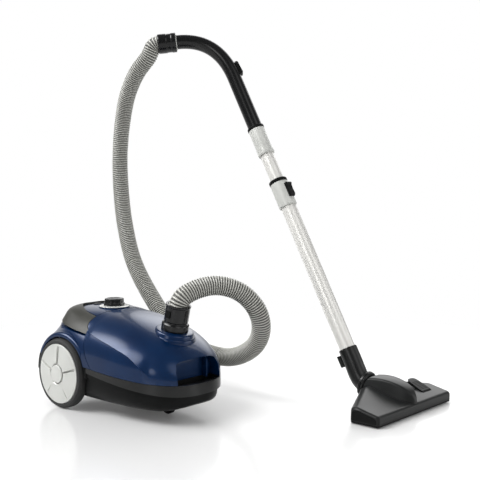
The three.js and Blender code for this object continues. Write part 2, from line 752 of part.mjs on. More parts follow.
const casterWheel = () => at(revolve('y', [
  [casterPinRadius + gap, -casterWheelWidth / 2], [casterWheelRadius - 2, -casterWheelWidth / 2],
  [casterWheelRadius, -casterWheelWidth / 2 + 3], [casterWheelRadius, casterWheelWidth / 2 - 3],
  [casterWheelRadius - 2, casterWheelWidth / 2], [casterPinRadius + gap, casterWheelWidth / 2]], 24),
-casterTrail, 0, casterWheelRadius - floorHeight);

// ---- Inside the housing -------------------------------------------------------------------

const motorZ = 104;
const motorRadius = 44;
const motorLength = 92;
const motorMountLength = 9;
const exhaustFilterX = bodyRear + 15;
const exhaustFilterThickness = 5.5;
const motorRearX = exhaustFilterX + exhaustFilterThickness + motorMountLength + 2 * gap;
const motorX = motorRearX + motorLength / 2;

// A through-flow motor lying across the housing's length, fan end forward.
const motorUnit = () => at(revolve('x', [
  [0, -motorLength / 2], [22, -motorLength / 2], [30, -motorLength / 2 + 8], [34, 0],
  [motorRadius, 6], [motorRadius, motorLength / 2 - 6], [motorRadius - 5, motorLength / 2],
  [16, motorLength / 2], [14, motorLength / 2 - 4], [0, motorLength / 2 - 4]], 24), motorX, 0, motorZ);

const motorFrontMount = () => at(ring('x', motorRadius - 12, motorRadius + 3, motorLength / 2 + gap,
  motorLength / 2 + motorMountLength, 24), motorX, 0, motorZ);

const motorRearMount = () => at(
  ring('x', 10, 20, -motorLength / 2 - motorMountLength, -motorLength / 2 - gap, 24),
  motorX, 0, motorZ);

// A wheel-shaped drum for the mains cord, about the Y axis, and the bracket that carries it.
const reelX = 8;
const reelZ = 127;
const reelRadius = 37;
const reelInnerY = 51;
const reelOuterY = 83;
const reelShaftRadius = 5;

const cordReel = () => at(revolve('y', [
  [reelShaftRadius + gap, reelInnerY], [reelRadius, reelInnerY], [reelRadius, reelInnerY + 2],
  [reelRadius * 0.5, reelInnerY + 2], [reelRadius * 0.5, reelOuterY - 2], [reelRadius, reelOuterY - 2],
  [reelRadius, reelOuterY], [reelShaftRadius + gap, reelOuterY]], 24), reelX, 0, reelZ);

const tubFloor = floorHeight + wall + 6 * gap;

const reelBracket = () => join(
  prism('y', [[reelX - 16, tubFloor], [reelX + 16, tubFloor], [reelX + 8, reelZ + 8], [reelX - 8, reelZ + 8]],
    reelInnerY - 3, reelInnerY - gap),
  at(rod('y', reelShaftRadius, reelInnerY - 2, reelOuterY + 1, 20), reelX, 0, reelZ),
);

const bulkheadX = wheelRadius + wellGap + 8;
const filterHalfWidth = 50;
const filterLow = 46;
const filterHigh = 88;

const motorFilter = () => box(bulkheadX + wall + gap, bulkheadX + wall + 8, -filterHalfWidth,
  filterHalfWidth, filterLow, filterHigh);

const grilleHalfWidth = 42;
const grilleLow = 48;
const grilleHigh = 92;
const grilleBars = 6;

// The opening in the tub's rear wall that the exhaust grille fills.
const grilleOpening = (grow) => box(-far, bodyRear + 26, -grilleHalfWidth - grow, grilleHalfWidth + grow,
  grilleLow - grow, grilleHigh + grow);

function exhaustGrille() {
  const skin = cut(bodyForm(tubInset, 0, 14, 24), bodyForm(tubWall(), wall, 12, 16));
  const pitch = (grilleHigh - grilleLow) / grilleBars;
  const slots = Array.from({ length: grilleBars - 1 }, (_, k) => box(-far, far,
    -grilleHalfWidth + 5, grilleHalfWidth - 5,
    grilleLow + pitch * (k + 1) - 2, grilleLow + pitch * (k + 1) + 1.5));
  return cut(skin.intersect(grilleOpening(-gap)), ...slots);
}

const exhaustFilter = () => box(exhaustFilterX, exhaustFilterX + exhaustFilterThickness,
  -grilleHalfWidth + 2, grilleHalfWidth - 2,
  grilleLow + 2, grilleHigh - 2);

// The strain relief that the mains cord comes out of, in the rear cover under the handle.
const outletZ = 127;
const cordOutlet = () => at(revolve('x', [
  [4, -4], [8, -4], [10, -2.5], [10, -gap], [7, -gap], [7, 9], [4, 9]], 16), bodyRear, 0, outletZ);

// ---- Dust bag -----------------------------------------------------------------------------

const bagPlateHeight = -connectorNeckLength - 8 - gap;
const bagPlateThickness = 3;
const bagPlateHalf = 44;
const bagNeckRadius = 26;
const bagTop = 126;
const holderTop = bagPlateHeight - bagPlateThickness - gap;
const holderX = 244;
const casterHousingHeight = 16;

// The bag's holder: a frame under its plate, on two legs that stand on the tub's floor.
function bagHolder() {
  const opening = bagNeckRadius + 2;
  const frame = onInlet(new THREE.BoxGeometry(2 * bagPlateHalf - 4, 2 * bagPlateHalf, 4)
    .translate(-2, 0, holderTop - 2));
  const leg = () => box(holderX - 5, holderX, 34, 46, tubFloor, inletZ - 36);
  const brace = box(holderX - 5, holderX, -46, 46, inletZ - 43, inletZ - 36);
  return cut(join(frame, bothSides(leg), brace),
    onInlet(new THREE.BoxGeometry(2 * opening, 2 * opening, 12).translate(0, 0, holderTop)));
}

// The filled paper bag with its card plate, which lies on the holder's frame.
function dustBag() {
  const [rear, front] = [bulkheadX + wall + 16, holderX - 8];
  const low = floorHeight + casterHousingHeight + 2;
  const rings = [];
  for (let i = 0; i <= 8; i += 1) {
    const t = -Math.cos(Math.PI * i / 8);
    const swell = roundedEnd(t, 3);
    const half = (bagTop - low) / 2 * (0.35 + 0.65 * swell);
    rings.push(Array.from({ length: 16 }, (_, k) => {
      const angle = 2 * Math.PI * k / 16;
      const [c, sn] = [Math.cos(angle), Math.sin(angle)];
      return [(rear + front) / 2 + (front - rear) / 2 * t, 72 * swell * Math.sign(c) * Math.abs(c) ** 0.6,
        (low + bagTop) / 2 + half * Math.sign(sn) * Math.abs(sn) ** 0.6];
    }));
  }
  const plate = onInlet(new THREE.BoxGeometry(2 * bagPlateHalf, 2 * bagPlateHalf, bagPlateThickness)
    .translate(-2, 0, bagPlateHeight - bagPlateThickness / 2));
  const neck = onInlet(rod('z', bagNeckRadius, holderTop - 26, bagPlateHeight - 1, 24));
  return cut(join(solid(loft(rings)), neck, plate),
    onInlet(rod('z', hoseRadius - 1, bagPlateHeight - 20, far, 24)));
}

// ---- Wand ---------------------------------------------------------------------------------
// Made about the tube's axis, height 0 at the elbow's rim.

const tubeInsertion = 28;
const collarSplit = outerTubeLength + 34;
const collarStart = outerTubeLength - 4;
const collarEnd = collarStart + collarLength;
const socketStart = collarEnd + innerTubeShown;
const socketEnd = socketStart + socketLength;

const lowerTube = () => solid(ring('z', outerTubeRadius - tubeWall, outerTubeRadius,
  -tubeInsertion, collarSplit - 1, 28));

const upperTube = () => solid(ring('z', innerTubeRadius - tubeWall, innerTubeRadius,
  collarSplit - innerTubeHidden, socketStart + 30, 28));

function telescopeCollar() {
  return solid(revolve('z', [
    [outerTubeRadius + gap, collarStart], [collarRadius - 1, collarStart],
    [collarRadius, collarStart + 2], [collarRadius, collarEnd - 9],
    [innerTubeRadius + 2 * gap, collarEnd - 9],
    [innerTubeRadius + 2 * gap, collarSplit], [outerTubeRadius + gap, collarSplit]], 28));
}

const collarCap = () => solid(revolve('z', [
  [innerTubeRadius + 2 * gap, collarEnd - 9 + gap], [collarRadius + 0.6, collarEnd - 9 + gap],
  [collarRadius + 0.6, collarEnd - 2], [collarRadius - 1.4, collarEnd],
  [innerTubeRadius + 2 * gap, collarEnd]], 28));

const releaseStart = collarEnd - 52;
const releaseLength = 34;

// A saddle on the collar's front, pushed along the tube to free the telescope.
function tubeRelease() {
  const x = collarRadius;
  const outline = [[x - 4, 0], [x + 3, 0], [x + 6, 5], [x + 5, releaseLength / 2], [x + 6, releaseLength - 6],
    [x + 8, releaseLength - 4], [x + 7, releaseLength], [x - 4, releaseLength]];
  return cut(
    prism('y', outline.map(([a, b]) => [a, b + releaseStart]), -8, 8),
    solid(rod('z', collarRadius + gap, 0, far, 36)),
  );
}

const gripSocket = () => solid(revolve('z', [
  [innerTubeRadius + gap, socketStart], [socketRadius - 1, socketStart], [socketRadius, socketStart + 3],
  [socketRadius - 1.6, socketStart + 22], [socketRadius - 1, socketEnd - 7],
  [gripRadius + gap, socketEnd - 7],
  [gripRadius + gap, socketStart + 31], [innerTubeRadius + gap, socketStart + 31]], 28));

const socketRing = () => solid(revolve('z', [
  [gripRadius + gap, socketEnd - 7 + gap], [socketRadius, socketEnd - 7 + gap], [socketRadius, socketEnd - 1],
  [socketRadius - 1, socketEnd], [gripRadius + gap, socketEnd]], 28));

// The grip's centre line from inside the socket, in its own plane: +Z along the tube, +X the way
// that it bends.
function gripCurve() {
  const straight = new THREE.LineCurve3(
    new THREE.Vector3(0, 0, socketStart + 31 + gap),
    new THREE.Vector3(0, 0, socketEnd + gripStraight),
  );
  const bend = new THREE.CubicBezierCurve3(...[[0, 0], [0, 88], [40, 127.4], [94.6, 141.5]].map(
    ([x, z]) => new THREE.Vector3(x, 0, socketEnd + gripStraight + z)));
  const path = new THREE.CurvePath();
  path.add(straight);
  path.add(bend);
  path.add(new THREE.LineCurve3(bend.v3, new THREE.Vector3(112, 0, socketEnd + gripStraight + 146)));
  return path;
}

// A pipe along a curve, open at both ends.
function pipe(curve, radius, thickness, steps, sides) {
  const outline = new THREE.Shape();
  outline.absarc(0, 0, radius, 0, 2 * Math.PI);
  const bore = new THREE.Path();
  bore.absarc(0, 0, radius - thickness, 0, 2 * Math.PI);
  outline.holes.push(bore);
  return solid(new THREE.ExtrudeGeometry(outline, { steps, extrudePath: curve, curveSegments: sides / 2 }));
}

const handgrip = () => pipe(gripCurve(), gripRadius, gripWall, 12, 16);

// ---- Grip end ------------------------------------------------------------------------------

const gripEnd = gripCurve().getPoint(1);
const gripEndWay = gripCurve().getTangent(1);

// Places a piece made about the grip's end, +Z out along the hose.
function onGripEnd(geometry) {
  const turn = new THREE.Quaternion().setFromUnitVectors(new THREE.Vector3(0, 0, 1), gripEndWay);
  return solid(geometry.applyQuaternion(turn).translate(...gripEnd.toArray()));
}

const sleeveRadius = hoseRadius - 0.8;

// The light sleeve that the cuff turns on, pressed on the grip's end.
const swivelSleeve = () => onGripEnd(revolve('z', [
  [gripRadius - gripWall, gap], [gripRadius + 2 * gap, gap], [gripRadius + 2 * gap, -16],
  [sleeveRadius, -16],
  [sleeveRadius, cuffLength - 24], [gripRadius - gripWall, cuffLength - 24]], 24));

function hoseCuff() {
  const body = onGripEnd(revolve('z', [
    [sleeveRadius + gap, -14], [cuffRadius, -14], [cuffRadius, -4], [cuffRadius - 1, -2],
    [cuffRadius - 1, 8], [cuffRadius, 10], [cuffRadius, cuffLength - 17], [cuffRadius - 1, cuffLength - 14],
    [hoseRadius + 3 * gap, cuffLength - 14], [hoseRadius + gap, cuffLength - 23],
    [sleeveRadius + gap, cuffLength - 23]], 24));
  const windows = [0, 1, 2, 3].map((k) => {
    const hole = new THREE.CylinderGeometry(5.5, 5.5, 30, 8).scale(1, 1, 1.5).rotateZ(Math.PI / 2);
    return onGripEnd(hole.rotateZ(Math.PI / 4 + k * Math.PI / 2)
      .translate(cuffRadius * Math.cos(Math.PI / 4 + k * Math.PI / 2),
        cuffRadius * Math.sin(Math.PI / 4 + k * Math.PI / 2), 3));
  });
  return cut(body, ...windows);
}

// The suction slider lies on the outside of the grip's bend and slides down the grip.
const sliderSpot = gripCurve().getPointAt(0.52);
const sliderWay = gripCurve().getTangentAt(0.52);

function suctionSlider() {
  const half = sliderLength / 2;
  const outline = [[-half, -3], [-half, 4], [-half + 3, 6.5], [half - 3, 6.5], [half, 4], [half, -3]];
  const pad = prismGeometry('y', outline, -8, 8);
  const turn = Math.atan2(sliderWay.x, sliderWay.z);
  pad.rotateY(turn - Math.PI / 2).translate(
    sliderSpot.x - gripRadius * sliderWay.z, 0, sliderSpot.z + gripRadius * sliderWay.x);
  const grip = solid(bar(gripCurve(), gripRadius + gap, 14, 18));
  const passes = [0, 1, 2, 3, 4, 5, 6].map((k) => grip.translate(
    sliderWay.clone().multiplyScalar(sliderTravel * k / 6).toArray()));
  return cut(solid(pad), ...passes);
}

// ---- Nozzle end ---------------------------------------------------------------------------
// In the wand's upright plane, X and Z as everywhere, Y from that plane.

const leanWay = new THREE.Vector3(-Math.sin(radians(wandLean)), 0, Math.cos(radians(wandLean)));
const elbowTop = new THREE.Vector3(elbowTopX, 0, elbowTopZ);
const ringCentre = new THREE.Vector3(ringX, 0, ringZ);
const neckWay = new THREE.Vector3(Math.cos(radians(neckDip)), 0, -Math.sin(radians(neckDip)));
const elbowRadius = outerTubeRadius + 3;
const flangeThickness = 4;

function elbowCurve() {
  const knee = elbowTop.clone().addScaledVector(leanWay, -tubeInsertion - 6);
  const foot = ringCentre.clone().addScaledVector(neckWay, -flangeThickness);
  const path = new THREE.CurvePath();
  path.add(new THREE.LineCurve3(elbowTop.clone(), knee));
  path.add(new THREE.CubicBezierCurve3(knee, knee.clone().addScaledVector(leanWay, -16),
    foot.clone().addScaledVector(neckWay, -16), foot));
  return path;
}

// Turns a piece made about +Z so that +Z runs along a way, and moves it to a place.
function along(geometry, way, place) {
  const turn = new THREE.Quaternion().setFromUnitVectors(new THREE.Vector3(0, 0, 1), way);
  return solid(geometry.applyQuaternion(turn).translate(...place.toArray()));
}

const ringRadius = 28;

function nozzleElbow() {
  const shell = solid(bar(elbowCurve(), elbowRadius, 7, 20));
  const bore = pipeBore();
  const flange = along(rod('z', ringRadius, -flangeThickness - 2, -gap, 32), neckWay, ringCentre);
  return cut(join(shell, flange), bore,
    along(rod('z', outerTubeRadius + gap, -tubeInsertion - gap, far, 36), leanWay, elbowTop));
}

// The air way through the elbow.
function pipeBore() {
  const bore = solid(bar(elbowCurve(), outerTubeRadius - 3, 6, 10));
  return join(bore, along(rod('z', outerTubeRadius - 3, -flangeThickness - 8, 8, 20), neckWay, ringCentre));
}

// The hook on the elbow's back that hangs the wand on the canister's parking slot.
function parkingClip() {
  const back = elbowRadius + gap;
  const outline = [[-back, -12], [-back, -30], [-back - 4, -34], [-back - 8, -33], [-back - 8, -8],
    [-back - 4.5, -8], [-back - 4.5, -12]];
  const clip = prismGeometry('y', outline, -10, 10);
  return along(clip, leanWay, elbowTop);
}

const necktubeRadius = 19;

function nozzleNeck() {
  const pivot = new THREE.Vector3(pivotX, 0, pivotZ);
  const length = pivot.distanceTo(ringCentre);
  const barrel = at(rod('y', barrelRadius, -barrelHalfWidth, barrelHalfWidth, 32), pivotX, 0, pivotZ);
  const stub = along(rod('z', necktubeRadius, 0, length, 28), neckWay, ringCentre);
  const flange = along(revolve('z', [[0, gap], [ringRadius - 1, gap], [ringRadius, 2],
    [ringRadius - 2, 6], [0, 6]], 28), neckWay, ringCentre);
  const bore = along(rod('z', outerTubeRadius - 4, -1, length, 20), neckWay, ringCentre);
  const mouth = prism('z', [[pivotX - 8, -12], [pivotX + 10, -12], [pivotX + 10, 12], [pivotX - 8, 12]],
    -far, pivotZ);
  return cut(join(barrel, stub, flange), bore, mouth);
}

// Depth and height of the nozzle's body at a distance y from its middle.
const nozzleRearAt = (y) => nozzleFrontX - THREE.MathUtils.lerp(
  nozzleDepth - 10, nozzleSideDepth, blend(Math.abs(y), nozzleNeckHalfWidth, nozzleHalfWidth));
const nozzleTopAt = (y) => THREE.MathUtils.lerp(
  nozzleTopHeight, nozzleSideHeight, blend(Math.abs(y), nozzleNeckHalfWidth, nozzleHalfWidth));

function nozzleSection(y, inset, base) {
  const edge = blend(Math.abs(y), nozzleHalfWidth - inset - 6, nozzleHalfWidth - inset) ** 2;
  const front = nozzleFrontX - inset - 2.5 * edge;
  const rear = nozzleRearAt(y) + inset + 3 * edge;
  const low = nozzleFrontHeight - inset - 3 * edge;
  const high = nozzleTopAt(y) - inset - 4 * edge;
  return [[front, base], [front, low - 6], [front - 1.6, low - 1.6], [front - 6, low + 1],
    [(front + rear) / 2, (low + high) / 2 + 1.5], [rear + 14, high], [rear + 5, high - 2],
    [rear, high - 10], [rear - 1, base]].map(([x, z]) => [x, y, z]);
}

function nozzleForm(inset, base) {
  const end = nozzleHalfWidth - inset;
  const stations = [1, 0.985, 0.96, 0.8, 0.55, nozzleNeckHalfWidth / end, 0.12];
  const places = [...stations.map((t) => -t * end), ...stations.reverse().map((t) => t * end)];
  return solid(loft(places.map((y) => nozzleSection(y, inset, base))));
}

// The hump over the neck, a tongue that runs out towards the nozzle's front edge.
function humpForm(inset) {
  const rear = ringX + 11 + inset;
  const tip = nozzleFrontX - 2 - inset * 2;
  const rings = [];
  for (let i = 0; i <= 9; i += 1) {
    const t = i / 9;
    const x = THREE.MathUtils.lerp(rear, tip, t ** 0.9);
    const side = (33 - inset) * roundedEnd(0.05 + 0.95 * t, 2.2) + 0.4;
    const crest = nozzleFrontHeight + (70 - nozzleFrontHeight - inset) * roundedEnd(t, 2.3)
      - 5 * (1 - t) ** 6;
    const foot = nozzleFrontHeight - 8 - inset;
    rings.push(Array.from({ length: 13 }, (_, k) => {
      const angle = Math.PI * k / 12;
      return [x, side * Math.sign(Math.cos(angle)) * Math.abs(Math.cos(angle)) ** 0.8,
        foot + (crest - foot) * Math.sin(angle) ** 0.8];
    }));
  }
  return solid(loft(rings));
}

const soleTop = soleClearance + 3.5;
const pedalHalfWidth = 17;
const pedalPivotX = nozzleFrontX - 29;
const pedalPivotZ = 28.5;

const pedalPocket = (grow) => {
  const corners = [[5 + grow, -4.5 - grow], [5 + grow, 40], [-49 - grow, 40], [-49 - grow, 7 - grow],
    [-5, -4.5 - grow]];
  const [low, high] = [pedalY - wandY - pedalHalfWidth - 1, pedalY - wandY + pedalHalfWidth + 1];
  return prism('y', corners.map(([x, z]) => [pedalPivotX + x, pedalPivotZ + z]), low - grow, high + grow);
};

// The pins on the pedal's sides, which turn in the walls of its pocket.
const pedalPins = (grow) => at(
  rod('y', 2 + grow, -pedalHalfWidth - 3 - grow, pedalHalfWidth + 3 + grow, 12),
  pedalPivotX, pedalY - wandY, pedalPivotZ);

const neckRoom = (grow) => join(
  at(rod('y', barrelRadius + 1 + grow, -barrelHalfWidth - 0.5 - grow, barrelHalfWidth + 0.5 + grow, 32),
    pivotX, 0, pivotZ),
  prism('y', [[pivotX, pivotZ - necktubeRadius - 2 - grow], [pivotX, pivotZ + necktubeRadius + 4 + grow],
    [ringX + 4, pivotZ + 37 + grow], [ringX - 40, pivotZ + 37 + grow],
    [ringX - 40, pivotZ - necktubeRadius - 2 - grow]], -necktubeRadius - 1.5 - grow,
  necktubeRadius + 1.5 + grow),
);

function nozzleHousing() {
  const hollow = cut(nozzleForm(wall, -far), pedalPocket(wall));
  return cut(
    nozzleForm(0, soleTop + gap),
    hollow,
    humpForm(-gap),
    pedalPocket(0),
    pedalPins(gap),
    neckRoom(0),
  );
}

// The room that the neck sweeps through as the nozzle tilts.
function neckSweep() {
  const length = new THREE.Vector3(pivotX, 0, pivotZ).distanceTo(ringCentre);
  const room = join(
    along(rod('z', necktubeRadius + 1, 0, length, 28), neckWay, ringCentre),
    along(rod('z', ringRadius + 1, -1, 7, 28), neckWay, ringCentre),
  ).translate([-pivotX, 0, -pivotZ]);
  const steps = [0, 1, 2, 3, 4, 5, 6, 7, 8, 9];
  const turned = steps.map((k) => room.rotate(
    [0, THREE.MathUtils.lerp(-tiltDown, tiltUp, k / 9), 0]));
  return join(...turned).translate([pivotX, 0, pivotZ]);
}

function neckCover() {
  return cut(humpForm(0), humpForm(wall), neckRoom(0), neckSweep()).intersect(
    box(-far, far, -far, far, nozzleFrontHeight - 6, far));
}

function nozzleSole() {
  const plate = cut(nozzleForm(gap, soleClearance).intersect(box(-far, far, -far, far, 0, soleTop)));
  const room = brushThickness / 2 + 2 * gap;
  const slots = [[brushFrontX, brushFrontHalf], [brushRearX, brushRearHalf]].map(([x, half]) =>
    box(x - room, x + room, -half - 2 * gap, half + 2 * gap, -far, far));
  const mouth = join(
    box(brushRearX + 9, brushRearX + 23, 4 - brushRearHalf, brushRearHalf - 4, -far, far),
    box(pivotX - 14, brushRearX + 23, -barrelRadius, barrelRadius, -far, far),
  );
  return join(cut(plate, ...slots, mouth, bothSides(rollerRoom)), bothSides(rollerPin), bothSides(glide));
}

// A skid that the front of the sole rests on.
const glide = () => box(nozzleFrontX - 26, nozzleFrontX - 19, 60, 90, 0, soleClearance + 1);

const brushFrontX = nozzleFrontX - brushFrontInset;
const brushRearX = nozzleFrontX - brushRearInset;

const brushStrip = (x, half) => box(x - brushThickness / 2, x + brushThickness / 2, -half, half,
  0.8, soleTop + 3);

const rollerRadius = 8;
const rollerX = pivotX - 10;
const rollerY = 36;
const rollerWidth = 10;

const nozzleRoller = () => at(revolve('y', [
  [2 + gap, -rollerWidth / 2], [rollerRadius - 1, -rollerWidth / 2], [rollerRadius, -rollerWidth / 2 + 1],
  [rollerRadius, rollerWidth / 2 - 1], [rollerRadius - 1, rollerWidth / 2], [2 + gap, rollerWidth / 2],
], 16), rollerX, rollerY, rollerRadius);

// The room that a roller runs in, and the pin across it.
const rollerRoom = () => box(rollerX - rollerRadius - 2, rollerX + rollerRadius + 2,
  rollerY - rollerWidth / 2 - 1, rollerY + rollerWidth / 2 + 1, -far, 2 * rollerRadius + 3);
const rollerPin = () => join(
  at(rod('y', 2, -rollerWidth / 2 - 3, rollerWidth / 2 + 3, 16), rollerX, rollerY, rollerRadius),
  box(rollerX - 4, rollerX + 4, rollerY - rollerWidth / 2 - 3, rollerY - rollerWidth / 2 - 1,
    soleClearance, rollerRadius + 4),
  box(rollerX - 4, rollerX + 4, rollerY + rollerWidth / 2 + 1, rollerY + rollerWidth / 2 + 3,
    soleClearance, rollerRadius + 4),
);

function floorPedal() {
  const outline = [[3.4, 0], [2, 3.6], [-38, 22], [-43, 22.5], [-45, 20], [-42, 17.2], [-3, 0.4]];
  return join(
    prism('y', outline.map(([x, z]) => [pedalPivotX + x, pedalPivotZ + z]),
      pedalY - wandY - pedalHalfWidth, pedalY - wandY + pedalHalfWidth),
    at(rod('y', 3.5, pedalY - wandY - pedalHalfWidth, pedalY - wandY + pedalHalfWidth, 12),
      pedalPivotX, 0, pedalPivotZ),
    pedalPins(0),
  );
}

// ---- Hose ---------------------------------------------------------------------------------

// The hose's way from the connector, round in front and behind the canister, to the cuff.
const hoseRoute = [
  [249, 26, 256], [272, 70, 265], [300, 112, 250], [319, 141, 215], [320, 157, 177],
  [300, 169, 139], [260, 178, 109], [203, 185, 89], [148, 186, 88], [84, 184, 102], [16, 182, 141],
  [-54, 185, 202], [-132, 197, 284], [-186, 217, 370], [-214, 231, 434], [-234, 243, 535],
  [-214, 236, 631], [-173, 220, 699], [-127, 214, 751], [-92, 221, 785],
];


// The stretch of a curve between two shares of its length, as a curve of its own.
class Stretch extends THREE.Curve {
  constructor(whole, from, to) {
    super();
    Object.assign(this, { whole, from, to });
  }

  getPoint(t) {
    return this.whole.getPointAt(THREE.MathUtils.lerp(this.from, this.to, t));
  }
}

// The hose in three stretches that meet face to face, straight where it enters its end pieces.
function hosePieces(start, startWay, end, endWay) {
  const curve = new THREE.CatmullRomCurve3([
    start, start.clone().addScaledVector(startWay, hoseStraight),
    start.clone().addScaledVector(startWay, 1.5 * hoseStraight),
    ...hoseRoute.map((point) => new THREE.Vector3(...point)),
    end.clone().addScaledVector(endWay, 1.5 * hoseStraight),
    end.clone().addScaledVector(endWay, hoseStraight), end,
  ]);
  curve.arcLengthDivisions = 600;
  const whole = curve.getLength();
  return ['hose_front', 'hose_middle', 'hose_rear'].map((name, k) => {
    const from = hoseShares[k] + gap / 2 / whole;
    const to = hoseShares[k + 1] - gap / 2 / whole;
    const steps = Math.round((to - from) * whole / hoseStep);
    return mesh(name, solid(bar(new Stretch(curve, from, to), hoseRadius, steps, 8)), 'hoseGrey');
  });
}

const hoseShares = [0, 0.3, 0.56, 1];
const hoseStraight = 14;
const hoseStep = 24;

// ---- Assembly -----------------------------------------------------------------------------

const wheels = (side, name) => {
  const pieces = [
    mesh(`${name}_wheel`, hub(), 'silverPlastic'),
    mesh(`${name}_tyre`, tyre(), 'rubber'),
    mesh(`${name}_axle`, axle(), 'steel'),
  ];
  const made = group(0, 0, wheelRadius, ...pieces);
  made.rotation.z = side < 0 ? Math.PI : 0;
  return made;
};

const caster = group(casterX, 0, floorHeight,
  mesh('caster_fork', casterFork(), 'black'),
  mesh('caster_wheel', casterWheel(), 'black'));


const knob = group(knobX, 0, deckTop,
  mesh('dial_ring', dialRing(), 'silverPlastic'),
  mesh('power_knob', powerKnob(), 'glossBlack'),
  mesh('speed_control', speedControl(), 'black'));

const inletWay = new THREE.Vector3(Math.sin(radians(inletLean)), 0, Math.cos(radians(inletLean)));
const connectorSeat = new THREE.Vector3(inletX, 0, inletZ).addScaledVector(inletWay, inletCollarTop);
const connector = group(...connectorSeat.toArray(),
  mesh('hose_connector', hoseConnector(), 'glossBlack'),
  mesh('connector_button_left', connectorButton(), 'black'),
  mesh('connector_button_right', connectorButton().mirror([0, 1, 0]), 'black'));
connector.rotation.y = radians(inletLean);

const canister = group(0, 0, 0,
  mesh('base_housing', baseHousing(), 'black'),
  mesh('bumper_strip', bumperStrip(), 'black'),
  mesh('rear_cover', rearCover(), 'blue'),
  mesh('carrying_handle', carryingHandle(), 'handleGrey'),
  mesh('lid', lid(), 'blue'),
  mesh('lid_catch', lidCatch(), 'black'),
  mesh('inlet_seal', inletSeal(), 'rubber'),
  mesh('hinge_pin', hingePin(), 'steel'),
  mesh('rewind_button', rewindButton(), 'black'),
  mesh('motor', motorUnit(), 'steel'),
  mesh('motor_front_mount', motorFrontMount(), 'rubber'),
  mesh('motor_rear_mount', motorRearMount(), 'rubber'),
  mesh('motor_filter', motorFilter(), 'foam'),
  mesh('exhaust_filter', exhaustFilter(), 'foam'),
  mesh('exhaust_grille', exhaustGrille(), 'black'),
  mesh('cord_reel', cordReel(), 'black'),
  mesh('reel_bracket', reelBracket(), 'steel'),
  mesh('cord_outlet', cordOutlet(), 'black'),
  mesh('bag_holder', bagHolder(), 'black'),
  mesh('dust_bag', dustBag(), 'paper'),
  wheels(1, 'left'), wheels(-1, 'right'), caster, knob, connector);

const grip = group(0, 0, 0,
  mesh('handgrip', handgrip(), 'glossBlack'),
  mesh('swivel_sleeve', swivelSleeve(), 'silverPlastic'),
  mesh('hose_cuff', hoseCuff(), 'glossBlack'),
  mesh('suction_slider', suctionSlider(), 'black'));
grip.rotation.z = Math.PI + radians(gripTwist);

const wand = group(elbowTopX, wandY, elbowTopZ,
  mesh('lower_tube', lowerTube(), 'tubeSilver'),
  mesh('upper_tube', upperTube(), 'tubeSilver'),
  mesh('telescope_collar', telescopeCollar(), 'silverPlastic'),
  mesh('collar_cap', collarCap(), 'black'),
  mesh('tube_release', tubeRelease(), 'black'),
  mesh('grip_socket', gripSocket(), 'silverPlastic'),
  mesh('socket_ring', socketRing(), 'black'),
  grip);
wand.rotation.y = -radians(wandLean);

const nozzle = group(0, wandY, 0,
  mesh('nozzle_elbow', nozzleElbow(), 'nozzleGrey'),
  mesh('parking_clip', parkingClip(), 'black'),
  mesh('nozzle_neck', nozzleNeck(), 'nozzleGrey'),
  mesh('nozzle_housing', nozzleHousing(), 'nozzleGrey'),
  mesh('neck_cover', neckCover(), 'nozzleGrey'),
  mesh('nozzle_sole', nozzleSole(), 'black'),
  mesh('brush_strip_front', brushStrip(brushFrontX, brushFrontHalf), 'black'),
  mesh('brush_strip_rear', brushStrip(brushRearX, brushRearHalf), 'black'),
  mesh('floor_pedal', floorPedal(), 'black'),
  mesh('nozzle_roller_left', nozzleRoller(), 'rubber'),
  mesh('nozzle_roller_right', nozzleRoller().mirror([0, 1, 0]), 'rubber'));

wand.updateMatrixWorld(true);
const hoseStart = connectorSeat.clone().addScaledVector(inletWay, connectorTopHeight - 12 + gap);
const hoseEnd = grip.localToWorld(gripEnd.clone().addScaledVector(gripEndWay, cuffLength - 23 + gap));
const hoseEndWay = gripEndWay.clone().transformDirection(grip.matrixWorld);
const hose = group(0, 0, 0, ...hosePieces(hoseStart, inletWay, hoseEnd, hoseEndWay));

const assembly = group(0, 0, 0, canister, wand, nozzle);
const bounds = new THREE.Box3().setFromObject(assembly, true);
const middle = bounds.getCenter(new THREE.Vector3());
assembly.add(hose);
assembly.position.set(-middle.x, -middle.y, -bounds.min.z);

const part = new THREE.Group();
part.add(assembly);
export default part;
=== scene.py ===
# %% [markdown]
# # A canister vacuum cleaner
# The machine stands on two large wheels and a caster, a corrugated hose runs from its lid to a
# bent handgrip, and a telescopic wand ends in a floor nozzle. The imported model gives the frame:
# every place below is counted from the wheel axle's place on the floor, in millimetres, and only
# the last step of making a mesh turns that into metres in the frame.

# %% The frame
import json
import math
from functools import partial

import bpy
import bmesh
import numpy as np
from mathutils import Matrix, Vector


